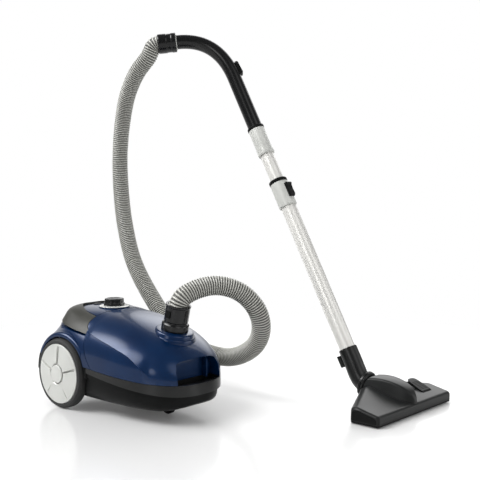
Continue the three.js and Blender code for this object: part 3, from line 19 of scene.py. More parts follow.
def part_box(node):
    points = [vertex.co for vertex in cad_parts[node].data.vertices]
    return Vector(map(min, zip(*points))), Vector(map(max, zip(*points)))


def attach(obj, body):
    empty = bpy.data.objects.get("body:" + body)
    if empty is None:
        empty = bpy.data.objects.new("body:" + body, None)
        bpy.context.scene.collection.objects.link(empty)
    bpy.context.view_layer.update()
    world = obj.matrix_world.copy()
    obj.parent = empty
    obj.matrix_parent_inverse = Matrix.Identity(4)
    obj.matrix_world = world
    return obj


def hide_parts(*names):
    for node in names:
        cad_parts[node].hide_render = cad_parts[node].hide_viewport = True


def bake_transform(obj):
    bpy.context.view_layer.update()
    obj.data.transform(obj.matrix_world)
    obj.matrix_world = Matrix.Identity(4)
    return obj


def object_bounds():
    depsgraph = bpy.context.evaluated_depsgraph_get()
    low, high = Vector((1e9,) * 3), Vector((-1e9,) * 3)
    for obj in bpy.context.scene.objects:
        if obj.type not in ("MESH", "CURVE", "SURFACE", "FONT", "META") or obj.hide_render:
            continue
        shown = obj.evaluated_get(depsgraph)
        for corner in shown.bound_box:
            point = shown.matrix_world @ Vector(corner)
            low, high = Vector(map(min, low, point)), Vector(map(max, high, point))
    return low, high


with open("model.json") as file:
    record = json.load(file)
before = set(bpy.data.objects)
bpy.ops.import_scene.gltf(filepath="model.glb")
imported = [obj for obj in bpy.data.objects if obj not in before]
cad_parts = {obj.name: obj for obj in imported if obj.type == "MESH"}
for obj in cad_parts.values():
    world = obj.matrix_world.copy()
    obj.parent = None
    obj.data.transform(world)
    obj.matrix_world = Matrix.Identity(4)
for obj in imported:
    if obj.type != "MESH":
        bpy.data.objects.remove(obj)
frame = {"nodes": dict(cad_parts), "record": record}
cad_low, cad_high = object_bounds()
left_low, left_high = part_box("left_axle")
right_low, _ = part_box("right_axle")
HOME = Vector(((left_low.x + left_high.x) / 2, (right_low.y + left_high.y) / 2, cad_low.z))
MM = 0.001
print("axle over", tuple(round(v, 4) for v in HOME))


def place(x, y, z):
    """A point in millimetres from the axle's foot, in the frame's metres."""
    return HOME + Vector((x, y, z)) * MM

def added(name, data):
    """A new object in the scene."""
    made = bpy.data.objects.new(name, data)
    bpy.context.scene.collection.objects.link(made)
    return made


# %% [markdown]
# ## Camera
# The camera stands a little above the machine's lid and looks past its front right corner, so that
# the wheel, the lid and the nozzle all show. A long lens keeps the upright lines nearly parallel.

# %% The camera
CAMERA_AT = (1467.5, -1184.6, 469.9)
CAMERA_TURN = 42.0  # degrees from the +Y direction towards -X
CAMERA_DIP = 3.7
LENS = 63.75

camera = added("camera", bpy.data.cameras.new("camera"))
camera.location = place(*CAMERA_AT)
camera.rotation_euler = (math.radians(90 - CAMERA_DIP), 0, math.radians(CAMERA_TURN))
camera.data.lens = LENS
camera.data.clip_end = 50
bpy.context.scene.camera = camera
bpy.context.scene.view_settings.view_transform = "Standard"

# %% [markdown]
# ## Materials
# A material is a small graph of nodes. One function adds a node and fills or links its inputs,
# and one turns a colour as a designer writes it, sRGB hex, into the linear light that the shader
# works with.


# %% Colour and nodes
def colour(hex_code):
    """sRGB hex, such as 0x0d2f57, as linear RGBA."""
    channels = [(hex_code >> shift & 255) / 255 for shift in (16, 8, 0)]
    linear = [c / 12.92 if c <= 0.04045 else ((c + 0.055) / 1.055) ** 2.4 for c in channels]
    return (*linear, 1.0)


def node(tree, kind, inputs=(), **settings):
    """Adds a node; inputs maps a socket's name or number to a value or to an output to link."""
    made = tree.nodes.new(kind)
    for key, value in settings.items():
        setattr(made, key, value)
    for key, value in dict(inputs).items():
        if isinstance(value, bpy.types.NodeSocket):
            tree.links.new(value, made.inputs[key])
        else:
            made.inputs[key].default_value = value
    return made


def material(name, shader, build=None):
    """A Principled material. build(tree, principled) may link patterns into it."""
    made = bpy.data.materials.new(name)
    made.use_nodes = True
    tree = made.node_tree
    principled = tree.nodes["Principled BSDF"]
    for key, value in shader.items():
        principled.inputs[key].default_value = value
    if build:
        build(tree, principled)
    return made


def object_place(tree):
    return node(tree, "ShaderNodeTexCoord").outputs["Object"]


def ramp(tree, factor, stops):
    """A colour ramp through (place, colour) stops."""
    made = node(tree, "ShaderNodeValToRGB", {"Fac": factor})
    while len(made.color_ramp.elements) < len(stops):
        made.color_ramp.elements.new(0.5)
    for element, (where, shade) in zip(made.color_ramp.elements, stops):
        element.position = where
        element.color = shade
    return made.outputs["Color"]


def bumped(tree, principled, where, scale, depth):
    """Noise as bump, its depth in metres; gives the noise's node."""
    noise = node(tree, "ShaderNodeTexNoise", {"Vector": where, "Scale": scale, "Detail": 3.0})
    bump = node(tree, "ShaderNodeBump", {
        "Height": noise.outputs["Fac"], "Distance": depth, "Strength": 1.0})
    tree.links.new(bump.outputs["Normal"], principled.inputs["Normal"])
    return noise

def roughened(tree, principled, noise, least, most):
    spread = node(tree, "ShaderNodeMapRange", {
        "Value": noise.outputs["Fac"], "To Min": least, "To Max": most})
    tree.links.new(spread.outputs["Result"], principled.inputs["Roughness"])

def grain(size_mm, depth_mm, rough, tint):
    """Moulded grain: a noise of one size as bump, and a small spread of roughness and colour."""

    def build(tree, principled):
        bumped(tree, principled, object_place(tree), 1 / (size_mm * MM), depth_mm * MM)
        cloud = node(tree, "ShaderNodeTexNoise", {
            "Vector": object_place(tree), "Scale": 14.0, "Detail": 4.0})
        roughened(tree, principled, cloud, *rough)
        shade = ramp(tree, cloud.outputs["Fac"],
                     [(0.3, colour(tint[0])), (0.7, colour(tint[1]))])
        tree.links.new(shade, principled.inputs["Base Color"])

    return build

# %% [markdown]
# ### Plastics
# The covers are ABS with a dark blue metallic paint under clear lacquer: fine flakes in the colour
# coat, a sharp reflection from the coat above it. The base is bare ABS with a fine moulded grain,
# which spreads its reflections. The connector, grip and knob are polished black ABS.

# %% Plastic finishes
def plastic(name, roughness, specular, pattern):
    return material(name, {"Roughness": roughness, "IOR": 1.5, "Specular IOR Level": specular},
                    pattern)

blue_lacquer = material(
    "metallic_blue_lacquer",
    {"Metallic": 0.3, "Roughness": 0.3, "Specular IOR Level": 0.18, "Coat Weight": 0.32,
     "Coat Roughness": 0.05},
    grain(0.9, 0.003, rough=(0.27, 0.33), tint=(0x001b3d, 0x012348)))
black_grained = plastic("black_abs_grained", 0.42, 0.08,
                        grain(0.8, 0.02, rough=(0.34, 0.44), tint=(0x0c0d0d, 0x111212)))
black_polished = plastic("black_abs_polished", 0.22, 0.35,
                         grain(6.0, 0.002, rough=(0.2, 0.25), tint=(0x050607, 0x08090a)))
grey_satin = plastic("warm_grey_abs_satin", 0.4, 0.25,
                     grain(0.8, 0.012, rough=(0.36, 0.46), tint=(0x2f2f2b, 0x383834)))
graphite_satin = plastic("graphite_abs_satin", 0.34, 0.14,
                         grain(0.8, 0.012, rough=(0.3, 0.4), tint=(0x1a1b1b, 0x202121)))
black_satin = plastic("black_abs_satin", 0.3, 0.35,
                      grain(0.8, 0.012, rough=(0.26, 0.34), tint=(0x0a0b0b, 0x0f1010)))
silver_paint = material(
    "silver_paint_on_abs", {"Metallic": 0.15, "Roughness": 0.36, "IOR": 1.5},
    grain(0.7, 0.006, rough=(0.3, 0.42), tint=(0xb4b5b1, 0xc0c1bd)))
print("plastics ready")

# %% [markdown]
# ### Rubber, metal and paper
# Tyres are thermoplastic rubber, nearly matt. The wand is thin steel tube, drawn and brushed along
# its length, so its roughness is streaked that way.


# %% Other finishes
WAND_LEAN = math.radians(28.6)

def brushed(tree, principled):
    """Fine streaks along the tube: noise that is stretched along the wand's direction."""
    along_tube = node(tree, "ShaderNodeMapping", {
        "Vector": object_place(tree), "Rotation": (0, WAND_LEAN, 0),
        "Scale": (1500.0, 1500.0, 12.0)})
    noise = bumped(tree, principled, along_tube.outputs["Vector"], 1.0, 0.000001)
    roughened(tree, principled, noise, 0.33, 0.38)

rubber = material(
    "thermoplastic_rubber", {"Roughness": 0.75, "IOR": 1.52},
    grain(0.6, 0.03, rough=(0.62, 0.8), tint=(0x161616, 0x222222)))
tube_steel = material(
    "brushed_steel_tube",
    {"Base Color": colour(0xd8d7d3), "Metallic": 0.4, "Roughness": 0.32}, brushed)
plain_steel = material(
    "zinc_plated_steel", {"Metallic": 1.0, "Roughness": 0.3},
    grain(2.0, 0.01, rough=(0.25, 0.4), tint=(0xb0b2b4, 0xc4c6c8)))
bag_paper = material(
    "filter_paper", {"Roughness": 0.95},
    grain(1.2, 0.08, rough=(0.9, 1.0), tint=(0xcfc4ae, 0xdcd2be)))
filter_fleece = material(
    "filter_fleece", {"Roughness": 1.0},
    grain(0.8, 0.2, rough=(0.9, 1.0), tint=(0xdadad4, 0xecece6)))
print("other finishes ready")

# %% [markdown]
# ## The hose's route
# A vacuum hose is a springy tube, so it leaves its two end pieces straight and bends in one long
# loop between them. A centripetal Catmull-Rom spline passes through every point of the route
# without the loops and cusps that an evenly spaced one makes where points lie close together.


# %% A spline through points
SPLINE_STEPS = 60  # points from one knot to the next


def spline(knots):
    """Dense points of a centripetal Catmull-Rom spline through the knots."""
    knots = np.array(knots, float)
    padded = np.vstack([2 * knots[0] - knots[1], knots, 2 * knots[-1] - knots[-2]])
    t = np.linspace(0, 1, SPLINE_STEPS, endpoint=False)[:, None]
    stretches = []
    for i in range(len(knots) - 1):
        a, b, c, d = padded[i:i + 4]
        ab, bc, cd = (math.sqrt(np.linalg.norm(q - p)) for p, q in ((a, b), (b, c), (c, d)))
        leave = ((b - a) / ab - (c - a) / (ab + bc) + (c - b) / bc) * bc
        arrive = ((c - b) / bc - (d - b) / (bc + cd) + (d - c) / cd) * bc
        stretches.append(b + leave * t + (-3 * b + 3 * c - 2 * leave - arrive) * t ** 2
                         + (2 * b - 2 * c + leave + arrive) * t ** 3)
    return np.vstack([*stretches, knots[-1:]])


def along_line(points, start, end, step):
    """The same line from one share of its length to another, in even steps."""
    lengths = np.concatenate([[0], np.cumsum(np.linalg.norm(np.diff(points, axis=0), axis=1))])
    marks = np.linspace(start * lengths[-1], end * lengths[-1],
                        max(2, round((end - start) * lengths[-1] / step)) + 1)
    return np.stack([np.interp(marks, lengths, points[:, k]) for k in range(3)], axis=1)


# %% The route
INLET_LEAN = math.radians(13)
INLET_WAY = np.array((math.sin(INLET_LEAN), 0, math.cos(INLET_LEAN)))
CONNECTOR_SEAT = np.array((222.1248, 0, 176.8284))
GRIP_END = np.array((-53.6765, 252.8040, 813.3393))
GRIP_END_WAY = np.array((-0.720909, -0.684583, -0.107873))
HOSE_ROUTE = [
    (249, 26, 256), (272, 70, 265), (300, 112, 250), (319, 141, 215), (320, 157, 177),
    (300, 169, 139), (260, 178, 109), (203, 185, 89), (148, 186, 88), (84, 184, 102),
    (16, 182, 141), (-54, 185, 202), (-132, 197, 284), (-186, 217, 370), (-214, 231, 434),
    (-234, 243, 535), (-214, 236, 631), (-173, 220, 699), (-127, 214, 751), (-92, 221, 785)]
HOSE_RADIUS = 20.5
HOSE_SHARES = [0, 0.3, 0.56, 1]
hose_start = CONNECTOR_SEAT + 42.3 * INLET_WAY
hose_end = GRIP_END + 21.3 * GRIP_END_WAY
hose_line = spline([
    hose_start, hose_start + 14 * INLET_WAY, hose_start + 21 * INLET_WAY, *HOSE_ROUTE,
    hose_end + 21 * GRIP_END_WAY, hose_end + 14 * GRIP_END_WAY, hose_end])
hose_line = along_line(hose_line, 0, 1, 2.0)
for _ in range(50):  # evens the bends out, while the ends stay straight in their pieces
    hose_line[6:-6] = (hose_line[5:-7] + 2 * hose_line[6:-6] + hose_line[7:-5]) / 4
hose_length = float(np.linalg.norm(np.diff(hose_line, axis=0), axis=1).sum())
print("hose", round(hose_length), "mm long")

# %% [markdown]
# ### Corrugations
# The hose is blown polymer with a rib every 5 mm. Ribs that follow a path are a rule, so Geometry
# Nodes make them: the line is cut into short even steps, a cosine of the length along it makes the
# radius swell and shrink, and a circle is swept along. The same wave is stored as an attribute,
# which the material reads to paint shade into the grooves: they are coloured darker than the ribs.

# %% Hose material
RIB_PITCH, RIB_DEPTH, RIB_STEP = 5.0, 2.0, 0.83


def ribbed_polymer(tree, principled):
    wave = node(tree, "ShaderNodeAttribute", attribute_name="rib").outputs["Fac"]
    # Painted shade: the rib wave colours the grooves dark and the ribs pale.
    shade = ramp(tree, wave, [
        (0.05, colour(0x2a2a28)), (0.40, colour(0x646460)), (0.90, colour(0xb4b4ad))])
    tree.links.new(shade, principled.inputs["Base Color"])
    noise = bumped(tree, principled, object_place(tree), 1 / (1.2 * MM), 0.00001)
    roughened(tree, principled, noise, 0.34, 0.48)

hose_polymer = material("ribbed_grey_polymer", {"Roughness": 0.4, "IOR": 1.5}, ribbed_polymer)


# %% Hose nodes
def math_node(tree, operation, a, b=0.0):
    return node(tree, "ShaderNodeMath", {0: a, 1: b}, operation=operation).outputs[0]


def new_tree(name, sizes):
    """An empty geometry tree and its inputs: a mesh, and named sizes."""
    tree = bpy.data.node_groups.new(name, "GeometryNodeTree")
    face = tree.interface
    face.new_socket("Geometry", in_out="INPUT", socket_type="NodeSocketGeometry")
    for size in sizes:
        face.new_socket(size, in_out="INPUT", socket_type="NodeSocketFloat")
    face.new_socket("Geometry", in_out="OUTPUT", socket_type="NodeSocketGeometry")
    return tree, node(tree, "NodeGroupInput").outputs

def stepped_curve(tree, mesh, step):
    """The line as a curve with a point at each step of its length."""
    curve = node(tree, "GeometryNodeMeshToCurve", {"Mesh": mesh})
    stepped = node(tree, "GeometryNodeResampleCurve",
                   {"Curve": curve.outputs["Curve"], "Length": step}, mode="LENGTH")
    return stepped.outputs["Curve"]

def closed_tree(tree, geometry, finish):
    """Makes instances real, sets the material and gives the tree its output."""
    real = node(tree, "GeometryNodeRealizeInstances", {"Geometry": geometry})
    dressed = node(tree, "GeometryNodeSetMaterial",
                   {"Geometry": real.outputs["Geometry"], "Material": finish})
    node(tree, "NodeGroupOutput", {"Geometry": dressed.outputs["Geometry"]})
    return tree

def hose_tree():
    """A tree that turns a line into a ribbed tube; its sizes are named inputs, in metres."""
    tree, sizes = new_tree("ribbed_tube", ("Radius", "Pitch", "Depth", "Step"))
    fine = stepped_curve(tree, sizes["Geometry"], sizes["Step"])
    length = node(tree, "GeometryNodeSplineParameter").outputs["Length"]
    turns = math_node(tree, "DIVIDE", length, sizes["Pitch"])
    wave = math_node(tree, "COSINE", math_node(tree, "MULTIPLY", turns, 2 * math.pi))
    rib = math_node(tree, "MULTIPLY", math_node(tree, "ADD", wave, 1.0), 0.5)
    # The wave is kept as the attribute rib, from which the material paints shade into the grooves.
    kept = node(tree, "GeometryNodeStoreNamedAttribute",
                {"Geometry": fine, "Name": "rib", "Value": rib},
                data_type="FLOAT", domain="POINT")
    hollow = math_node(tree, "MULTIPLY", math_node(tree, "SUBTRACT", 1.0, rib), sizes["Depth"])
    radius = math_node(tree, "SUBTRACT", sizes["Radius"], hollow)
    swelled = node(tree, "GeometryNodeSetCurveRadius",
                   {"Curve": kept.outputs["Geometry"], "Radius": radius})
    circle = node(tree, "GeometryNodeCurvePrimitiveCircle", {"Resolution": 24, "Radius": 1.0})
    tube = node(tree, "GeometryNodeCurveToMesh", {
        "Curve": swelled.outputs["Curve"], "Profile Curve": circle.outputs["Curve"],
        "Fill Caps": True})
    if "Scale" in tube.inputs:
        tree.links.new(radius, tube.inputs["Scale"])
    smooth = node(tree, "GeometryNodeSetShadeSmooth", {"Geometry": tube.outputs["Mesh"]})
    return closed_tree(tree, smooth.outputs["Geometry"], hose_polymer)

def grown(name, source, tree, sizes):
    """The plain mesh that a tree makes from a source mesh, as a new object at the origin."""
    carrier = added(name + "_source", source)
    nodes = carrier.modifiers.new("nodes", "NODES")
    nodes.node_group = tree
    identifiers = {s.name: s.identifier for s in tree.interface.items_tree if s.in_out == "INPUT"}
    for key, value in sizes.items():
        nodes[identifiers[key]] = value
    bpy.context.view_layer.update()
    ready = carrier.evaluated_get(bpy.context.evaluated_depsgraph_get())
    plain = bpy.data.meshes.new_from_object(ready)
    plain.name = name
    bpy.data.objects.remove(carrier)
    return added(name, plain)


# %% Three stretches of hose
HOSE_STRETCHES = [
    ("hose_front", "lid", "canister"),
    ("hose_middle", "canister", "wand"),
    ("hose_rear", "wand", "upper_wand")]
tube_nodes = hose_tree()
for k, (name, near, away) in enumerate(HOSE_STRETCHES):
    path_mm = along_line(hose_line, HOSE_SHARES[k], HOSE_SHARES[k + 1], 3.0)
    path = [place(*point) for point in path_mm]
    wire = bpy.data.meshes.new(name + "_line")
    wire.from_pydata(path, [(i, i + 1) for i in range(len(path) - 1)], [])
    piece = grown("ribbed_" + name, wire, tube_nodes, {
        "Radius": HOSE_RADIUS * MM, "Pitch": RIB_PITCH * MM, "Depth": RIB_DEPTH * MM,
        "Step": RIB_STEP * MM})
    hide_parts(name)
    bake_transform(piece)

# %% [markdown]
# ## Making solids
# Moulded housings are thin shells cut from one flowing form. The form is a skin through rings,
# and prisms, turned bodies and swept bars cut it, with the exact boolean solver for closed
# solids. All of it is worked in millimetres; `finished` turns the result into metres once.


# %% Solids from points
def closed(name, points, faces):
    """A closed mesh in millimetres, its doubles merged and its faces turned outwards."""
    made = bpy.data.meshes.new(name)
    made.from_pydata([tuple(map(float, p)) for p in points], [], faces)
    work = bmesh.new()
    work.from_mesh(made)
    bmesh.ops.remove_doubles(work, verts=work.verts, dist=0.003)
    bmesh.ops.delete(work, geom=[e for e in work.edges if e.is_wire], context="EDGES")
    bmesh.ops.recalc_face_normals(work, faces=work.faces)
    open_edges = sum(not e.is_manifold for e in work.edges)
    if work.calc_volume(signed=True) < 0:
        bmesh.ops.reverse_faces(work, faces=work.faces)
    work.to_mesh(made)
    work.free()
    if open_edges:
        raise ValueError(f"{name} isn't closed at {open_edges} edges")
    return made


def skin(rings, name="skin"):
    """One closed skin through rings of points. An end that has shrunk to a line needs no fan."""
    count = len(rings[0])
    points = [p for ring in rings for p in ring]
    faces = [(i * count + j, i * count + (j + 1) % count,
              (i + 1) * count + (j + 1) % count, (i + 1) * count + j)
             for i in range(len(rings) - 1) for j in range(count)]
    for start in (0, (len(rings) - 1) * count):
        ends = np.array([points[start + j] for j in range(count)], float)
        middle = ends.mean(axis=0)
        spokes = ends - middle
        if np.linalg.norm(np.cross(spokes, np.roll(spokes, -1, axis=0)).sum(axis=0)) < 1e-3:
            continue
        points.append(middle)
        faces += [(len(points) - 1, start + j, start + (j + 1) % count) for j in range(count)]
    return closed(name, points, faces)


AXES = {"x": (1, 2, 0), "y": (0, 2, 1), "z": (0, 1, 2)}


def across(axis, a, b, level):
    """A point from its two coordinates across an axis and its one along it."""
    point = [0.0, 0.0, 0.0]
    for index, value in zip(AXES[axis], (a, b, level)):
        point[index] = value
    return point

def prism(axis, outline, low, high):
    """An outline in the plane across an axis, stretched from low to high."""
    points = [across(axis, a, b, level) for level in (low, high) for a, b in outline]
    n = len(outline)
    faces = [tuple(range(n)), tuple(range(2 * n - 1, n - 1, -1))]
    faces += [(j, (j + 1) % n, n + (j + 1) % n, n + j) for j in range(n)]
    return closed("prism", points, faces)


def block(x0, x1, y0, y1, z0, z1):
    return prism("z", [(x0, y0), (x1, y0), (x1, y1), (x0, y1)], z0, z1)


def turned_by_angle(axis, profile_of, at=(0, 0, 0), segments=96):
    """A profile of (radius, height) corners, which may change with the angle, turned about an
    axis through a place."""
    points = []
    for k in range(segments):
        angle = 2 * math.pi * k / segments
        for radius, height in profile_of(angle):
            point = across(axis, radius * math.cos(angle), radius * math.sin(angle), height)
            points.append([p + q for p, q in zip(point, at)])
    n = len(profile_of(0.0))
    faces = [(k * n + j, k * n + (j + 1) % n, (k + 1) % segments * n + (j + 1) % n,
              (k + 1) % segments * n + j) for k in range(segments) for j in range(n)]
    return closed("turned", points, faces)

def turned(axis, profile, at=(0, 0, 0), segments=96):
    return turned_by_angle(axis, lambda angle: profile, at, segments)

def rod(axis, radius, low, high, at=(0, 0, 0), segments=96):
    return turned(axis, [(0, low), (radius, low), (radius, high), (0, high)], at, segments)


def open_edge_count(shape):
    uses = np.zeros(len(shape.edges), int)
    edge_of = np.empty(len(shape.loops), int)
    shape.loops.foreach_get("edge_index", edge_of)
    np.add.at(uses, edge_of, 1)
    return int((uses != 2).sum())


def boolean(how, first, *others):
    """Cuts, joins or crosses closed meshes, one after the other. The solver passes an open mesh
    through uncut without an error, so both are tested first."""
    for other in others:
        if open_edge_count(first) or open_edge_count(other):
            raise ValueError(f"{how}: {first.name} or {other.name} isn't closed")
        base, tool = added("base", first), added("tool", other)
        modifier = base.modifiers.new("boolean", "BOOLEAN")
        modifier.operation, modifier.solver, modifier.object = how, "MANIFOLD", tool
        bpy.context.view_layer.update()
        ready = base.evaluated_get(bpy.context.evaluated_depsgraph_get())
        first = bpy.data.meshes.new_from_object(ready)
        for each in (base, tool):
            bpy.data.objects.remove(each)
    return first


cut, join, cross = (partial(boolean, how) for how in ("DIFFERENCE", "UNION", "INTERSECT"))

def finished(name, shape, finish, body, stands_for=(), sharp=32):
    """A mesh in millimetres as a finished piece in the frame, riding on its body."""
    shape.transform(Matrix.Translation(HOME) @ Matrix.Scale(MM, 4))
    shape.name = name
    shape.materials.clear()
    shape.materials.append(finish)
    shape.polygons.foreach_set("use_smooth", [True] * len(shape.polygons))
    shape.set_sharp_from_angle(angle=math.radians(sharp))
    piece = added(name, shape)
    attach(piece, body)
    if stands_for:
        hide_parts(*stands_for)
    print(name, len(shape.polygons), "faces")


# %% [markdown]
# ## The canister's form
# The canister's housing is one flowing form: its plan is nearly a rounded box, widest over the
# wheels, and each upright section is a superellipse above the parting line and a squarer one
# below it. The sharp crease along each side of the lid is pressed into the same skin, so the
# light breaks there as it does on the moulded cover.

# %% Sizes of the canister
GAP, SEAM, WALL, FAR = 0.3, 1.3, 2.8, 1000
BODY_REAR, BODY_FRONT, BODY_WIDEST_X, BODY_HALF_WIDTH = -84, 304, 95, 120
BODY_TOP_X, BODY_TOP = 20, 206
FLOOR_HEIGHT, PARTING_REAR, PARTING_FRONT = 33, 108, 80
CHIN_RISE, CHIN_LENGTH = 20, 60
BUMPER_THICKNESS, BUMPER_LOW_REAR, BUMPER_LOW_FRONT, BUMPER_REAR_X = 3, 10, 23, 84
TUB_INSET, TUB_POWER, TUB_DROP = 6, 6, 9
LID_SEAM_X, LID_SEAM_FOOT_X, HINGE_X, HINGE_Z = 66, 101, 73, 188.5
RECESS_HALF, RECESS_TOP, RECESS_BACK = 59, 128, 264
INLET_X = 221
HANDLE_HALF, HANDLE_REAR, HANDLE_LOW_FRONT, HANDLE_LOW_REAR = 68, -48, 163, 181
GROOVE_INSET = 2
WHEEL_RADIUS, WELL_GAP, WELL_INNER_Y = 73.5, 4, 97
FENDER_RADIUS, FENDER_Y = 87.5, 119.5
KNOB_X, REWIND_X, CASTER_X, OUTLET_Z = 32, -26, 213, 127
HANDLE_LIFT = 5.5
CREASE_LIP, CREASE_STEP = 5.5, 1.3
CREASE = [(74, 167), (114, 158), (149, 150), (174, 143), (199, 135), (224, 121), (240, 108),
          (251, 92)]


# %% The form's curves
def rounded_end(u, power):
    reach = min(1.0, abs(u))
    return 0.0 if reach > 1 - 1e-9 else (1 - reach ** power) ** (1 / power)


def share(x, low, high):
    return min(1.0, max(0.0, (x - low) / (high - low)))


def eased(x, low, high):
    t = share(x, low, high)
    return t * t * (3 - 2 * t)


def half_width_at(x, inset, rear_power=2.8):
    front = x > BODY_WIDEST_X
    end = BODY_FRONT - inset if front else BODY_REAR + inset
    return (BODY_HALF_WIDTH - inset) * rounded_end(
        (x - BODY_WIDEST_X) / (end - BODY_WIDEST_X), 2.7 if front else rear_power)


def parting_at(x):
    return PARTING_REAR + (PARTING_FRONT - PARTING_REAR) * (x - BODY_REAR) / (
        BODY_FRONT - BODY_REAR)


def top_at(x, inset):
    front = x > BODY_TOP_X
    end = BODY_FRONT - inset if front else BODY_REAR + inset
    foot = PARTING_FRONT if front else PARTING_REAR
    return foot + (BODY_TOP - inset - foot) * rounded_end(
        (x - BODY_TOP_X) / (end - BODY_TOP_X), 2.1 if front else 4.5)


def underside_at(x, inset):
    return FLOOR_HEIGHT + inset + CHIN_RISE * share(x, BODY_FRONT - CHIN_LENGTH, BODY_FRONT) ** 2


CREASE_POINTS = spline(CREASE)


def crease_line(x):
    return float(np.interp(x, CREASE_POINTS[:, 0], CREASE_POINTS[:, 1]))


def crease_depth(x, z):
    """How far the side stands forward of the plain form: most at the crease, a little less just
    under it, and fading out up and down, so that the shoulder above leans and the side is steep."""
    below = crease_line(x) - z
    ends = eased(x, 60, 84) * (1 - eased(x, 232, 252))
    if below <= 0.1:
        return CREASE_LIP * ends * (1 - share(-below, 0, 46)) ** 2
    return (CREASE_LIP - CREASE_STEP) * ends * (1 - share(below, 0, 52)) ** 2


def crease_angle(x, j, quarter, width, waist, top, shoulder):
    """The angle of a ring's point j, so that one point of each ring lies just under the crease
    and the next one just over it."""
    mirrored = j > quarter
    step = 2 * quarter - j if mirrored else j

    def height(angle):
        c, s = math.cos(angle), math.sin(angle)
        return waist + (top - waist) * s * (c ** shoulder + s ** shoulder) ** (-1 / shoulder)

    def angle_at(z):
        low, high = 0.0, math.pi / 2
        for _ in range(24):
            middle = (low + high) / 2
            low, high = (middle, high) if height(middle) < z else (low, middle)
        return low

    under = min(max(angle_at(crease_line(x) - 1.1), 0.12), 1.2)
    over = max(angle_at(crease_line(x) + 0.1), under + 0.004)
    k = round(quarter * 0.4)
    angle = under * step / k if step <= k else over + (
        math.pi / 2 - over) * (step - k - 1) / (quarter - k - 1)
    return math.pi - angle if mirrored else angle


def body_form(inset, lift=None, stations=150, points=200, crease=False, rear_power=2.8):
    lift = inset if lift is None else lift
    middle = (BODY_REAR + BODY_FRONT) / 2
    half = (BODY_FRONT - BODY_REAR) / 2 - inset
    rings = []
    for i in range(stations + 1):
        x = middle - half * math.cos(math.pi * i / stations)
        width, waist = half_width_at(x, inset, rear_power), parting_at(x)
        shoulder = 3.3 - 0.9 * share(x, -30, 75)
        ring = []
        for j in range(points):
            angle = 2 * math.pi * j / points
            if crease and j <= points // 2:
                angle = crease_angle(x, j, points // 4, width, waist, top_at(x, inset), shoulder)
            c, s = math.cos(angle), math.sin(angle)
            power = shoulder if s > 0 else TUB_POWER
            rise = max(0.0, top_at(x, inset) - waist) if s > 0 else waist - underside_at(x, lift)
            reach = (abs(c) ** power + abs(s) ** power) ** (-1 / power)
            y, z = width * reach * c, waist + rise * reach * s
            if crease and s > 0:
                y += math.copysign(crease_depth(x, z), y) * min(1.0, abs(y) / 20)
            ring.append((x, y, z))
        rings.append(ring)
    return skin(rings, "body_form")


# %% Cutters
def parted(side, lift):
    """Everything above (side 1) or below (side -1) the parting line moved up by lift."""
    edge = [(x, parting_at(x) + lift) for x in (-FAR, FAR)]
    return prism("y", [*edge, (FAR, side * FAR), (-FAR, side * FAR)], -FAR, FAR)


SEAM_REACH = math.hypot(LID_SEAM_X - HINGE_X, top_at(LID_SEAM_X, 0) - HINGE_Z)


def seam_line(back):
    """The seam between lid and rear cover: round the hinge pin, then down to the base."""
    reach = SEAM_REACH + back
    start = math.pi / 2 + math.asin((HINGE_X - LID_SEAM_X) / SEAM_REACH)
    foot = math.asin((HINGE_X - LID_SEAM_X) / reach)
    arc = []
    for k in range(25):
        angle = start + (1.5 * math.pi - foot - start) * k / 24
        arc.append((HINGE_X + reach * math.cos(angle), HINGE_Z + reach * math.sin(angle)))
    fall = arc[-1][1] - parting_at(LID_SEAM_FOOT_X)
    sweep = [(LID_SEAM_X - back + (LID_SEAM_FOOT_X - LID_SEAM_X) * (k / 12) ** 2,
              arc[-1][1] - fall * k / 12) for k in range(1, 13)]
    return [(arc[0][0], FAR), *arc, *sweep, (LID_SEAM_FOOT_X - back, -FAR)]


def in_front_of_seam():
    return prism("y", [*seam_line(0), (FAR, -FAR), (FAR, FAR)], -FAR, FAR)


def behind_seam(back):
    return prism("y", [*seam_line(back), (-FAR, -FAR), (-FAR, FAR)], -FAR, FAR)


def wheel_wells(grow):
    radius = WHEEL_RADIUS + WELL_GAP + grow
    return [rod("y", radius, *span, at=(0, 0, WHEEL_RADIUS)) for span in (
        (WELL_INNER_Y - grow, FAR), (-FAR, -WELL_INNER_Y + grow))]


def handle_low_at(x):
    return HANDLE_LOW_FRONT + (HANDLE_LOW_REAR - HANDLE_LOW_FRONT) * share(
        -x, -LID_SEAM_X, -BODY_REAR)


def handle_zone(grow):
    """The room that the carrying handle takes, grown on its lower and inner sides."""
    low = [LID_SEAM_X + FAR, LID_SEAM_X, BODY_REAR, -FAR]
    above = prism("y", [*[(x, handle_low_at(x) - grow) for x in low], (-FAR, FAR), (FAR, FAR)],
                  -FAR, FAR)
    reach = LID_SEAM_X - HANDLE_REAR - grow
    inner = []
    for k in range(49):
        angle = math.pi / 2 + math.pi * k / 48
        inner.append((LID_SEAM_X + reach * math.cos(angle),
                      (HANDLE_HALF - grow) * math.sin(angle)))
    tongue = prism("z", [(FAR, HANDLE_HALF - grow), *inner, (FAR, grow - HANDLE_HALF)], -FAR, FAR)
    return cut(above, tongue)


def handle_slot():
    """The shadow gap under the handle's sides, open to the outside."""
    xs = [LID_SEAM_X + 4, BODY_REAR, -FAR]
    outline = [(x, handle_low_at(x) + 1) for x in xs]
    outline += [(x, handle_low_at(x) - 5) for x in reversed(xs)]
    return cut(prism("y", outline, -FAR, FAR), body_form(8, stations=80, points=120))


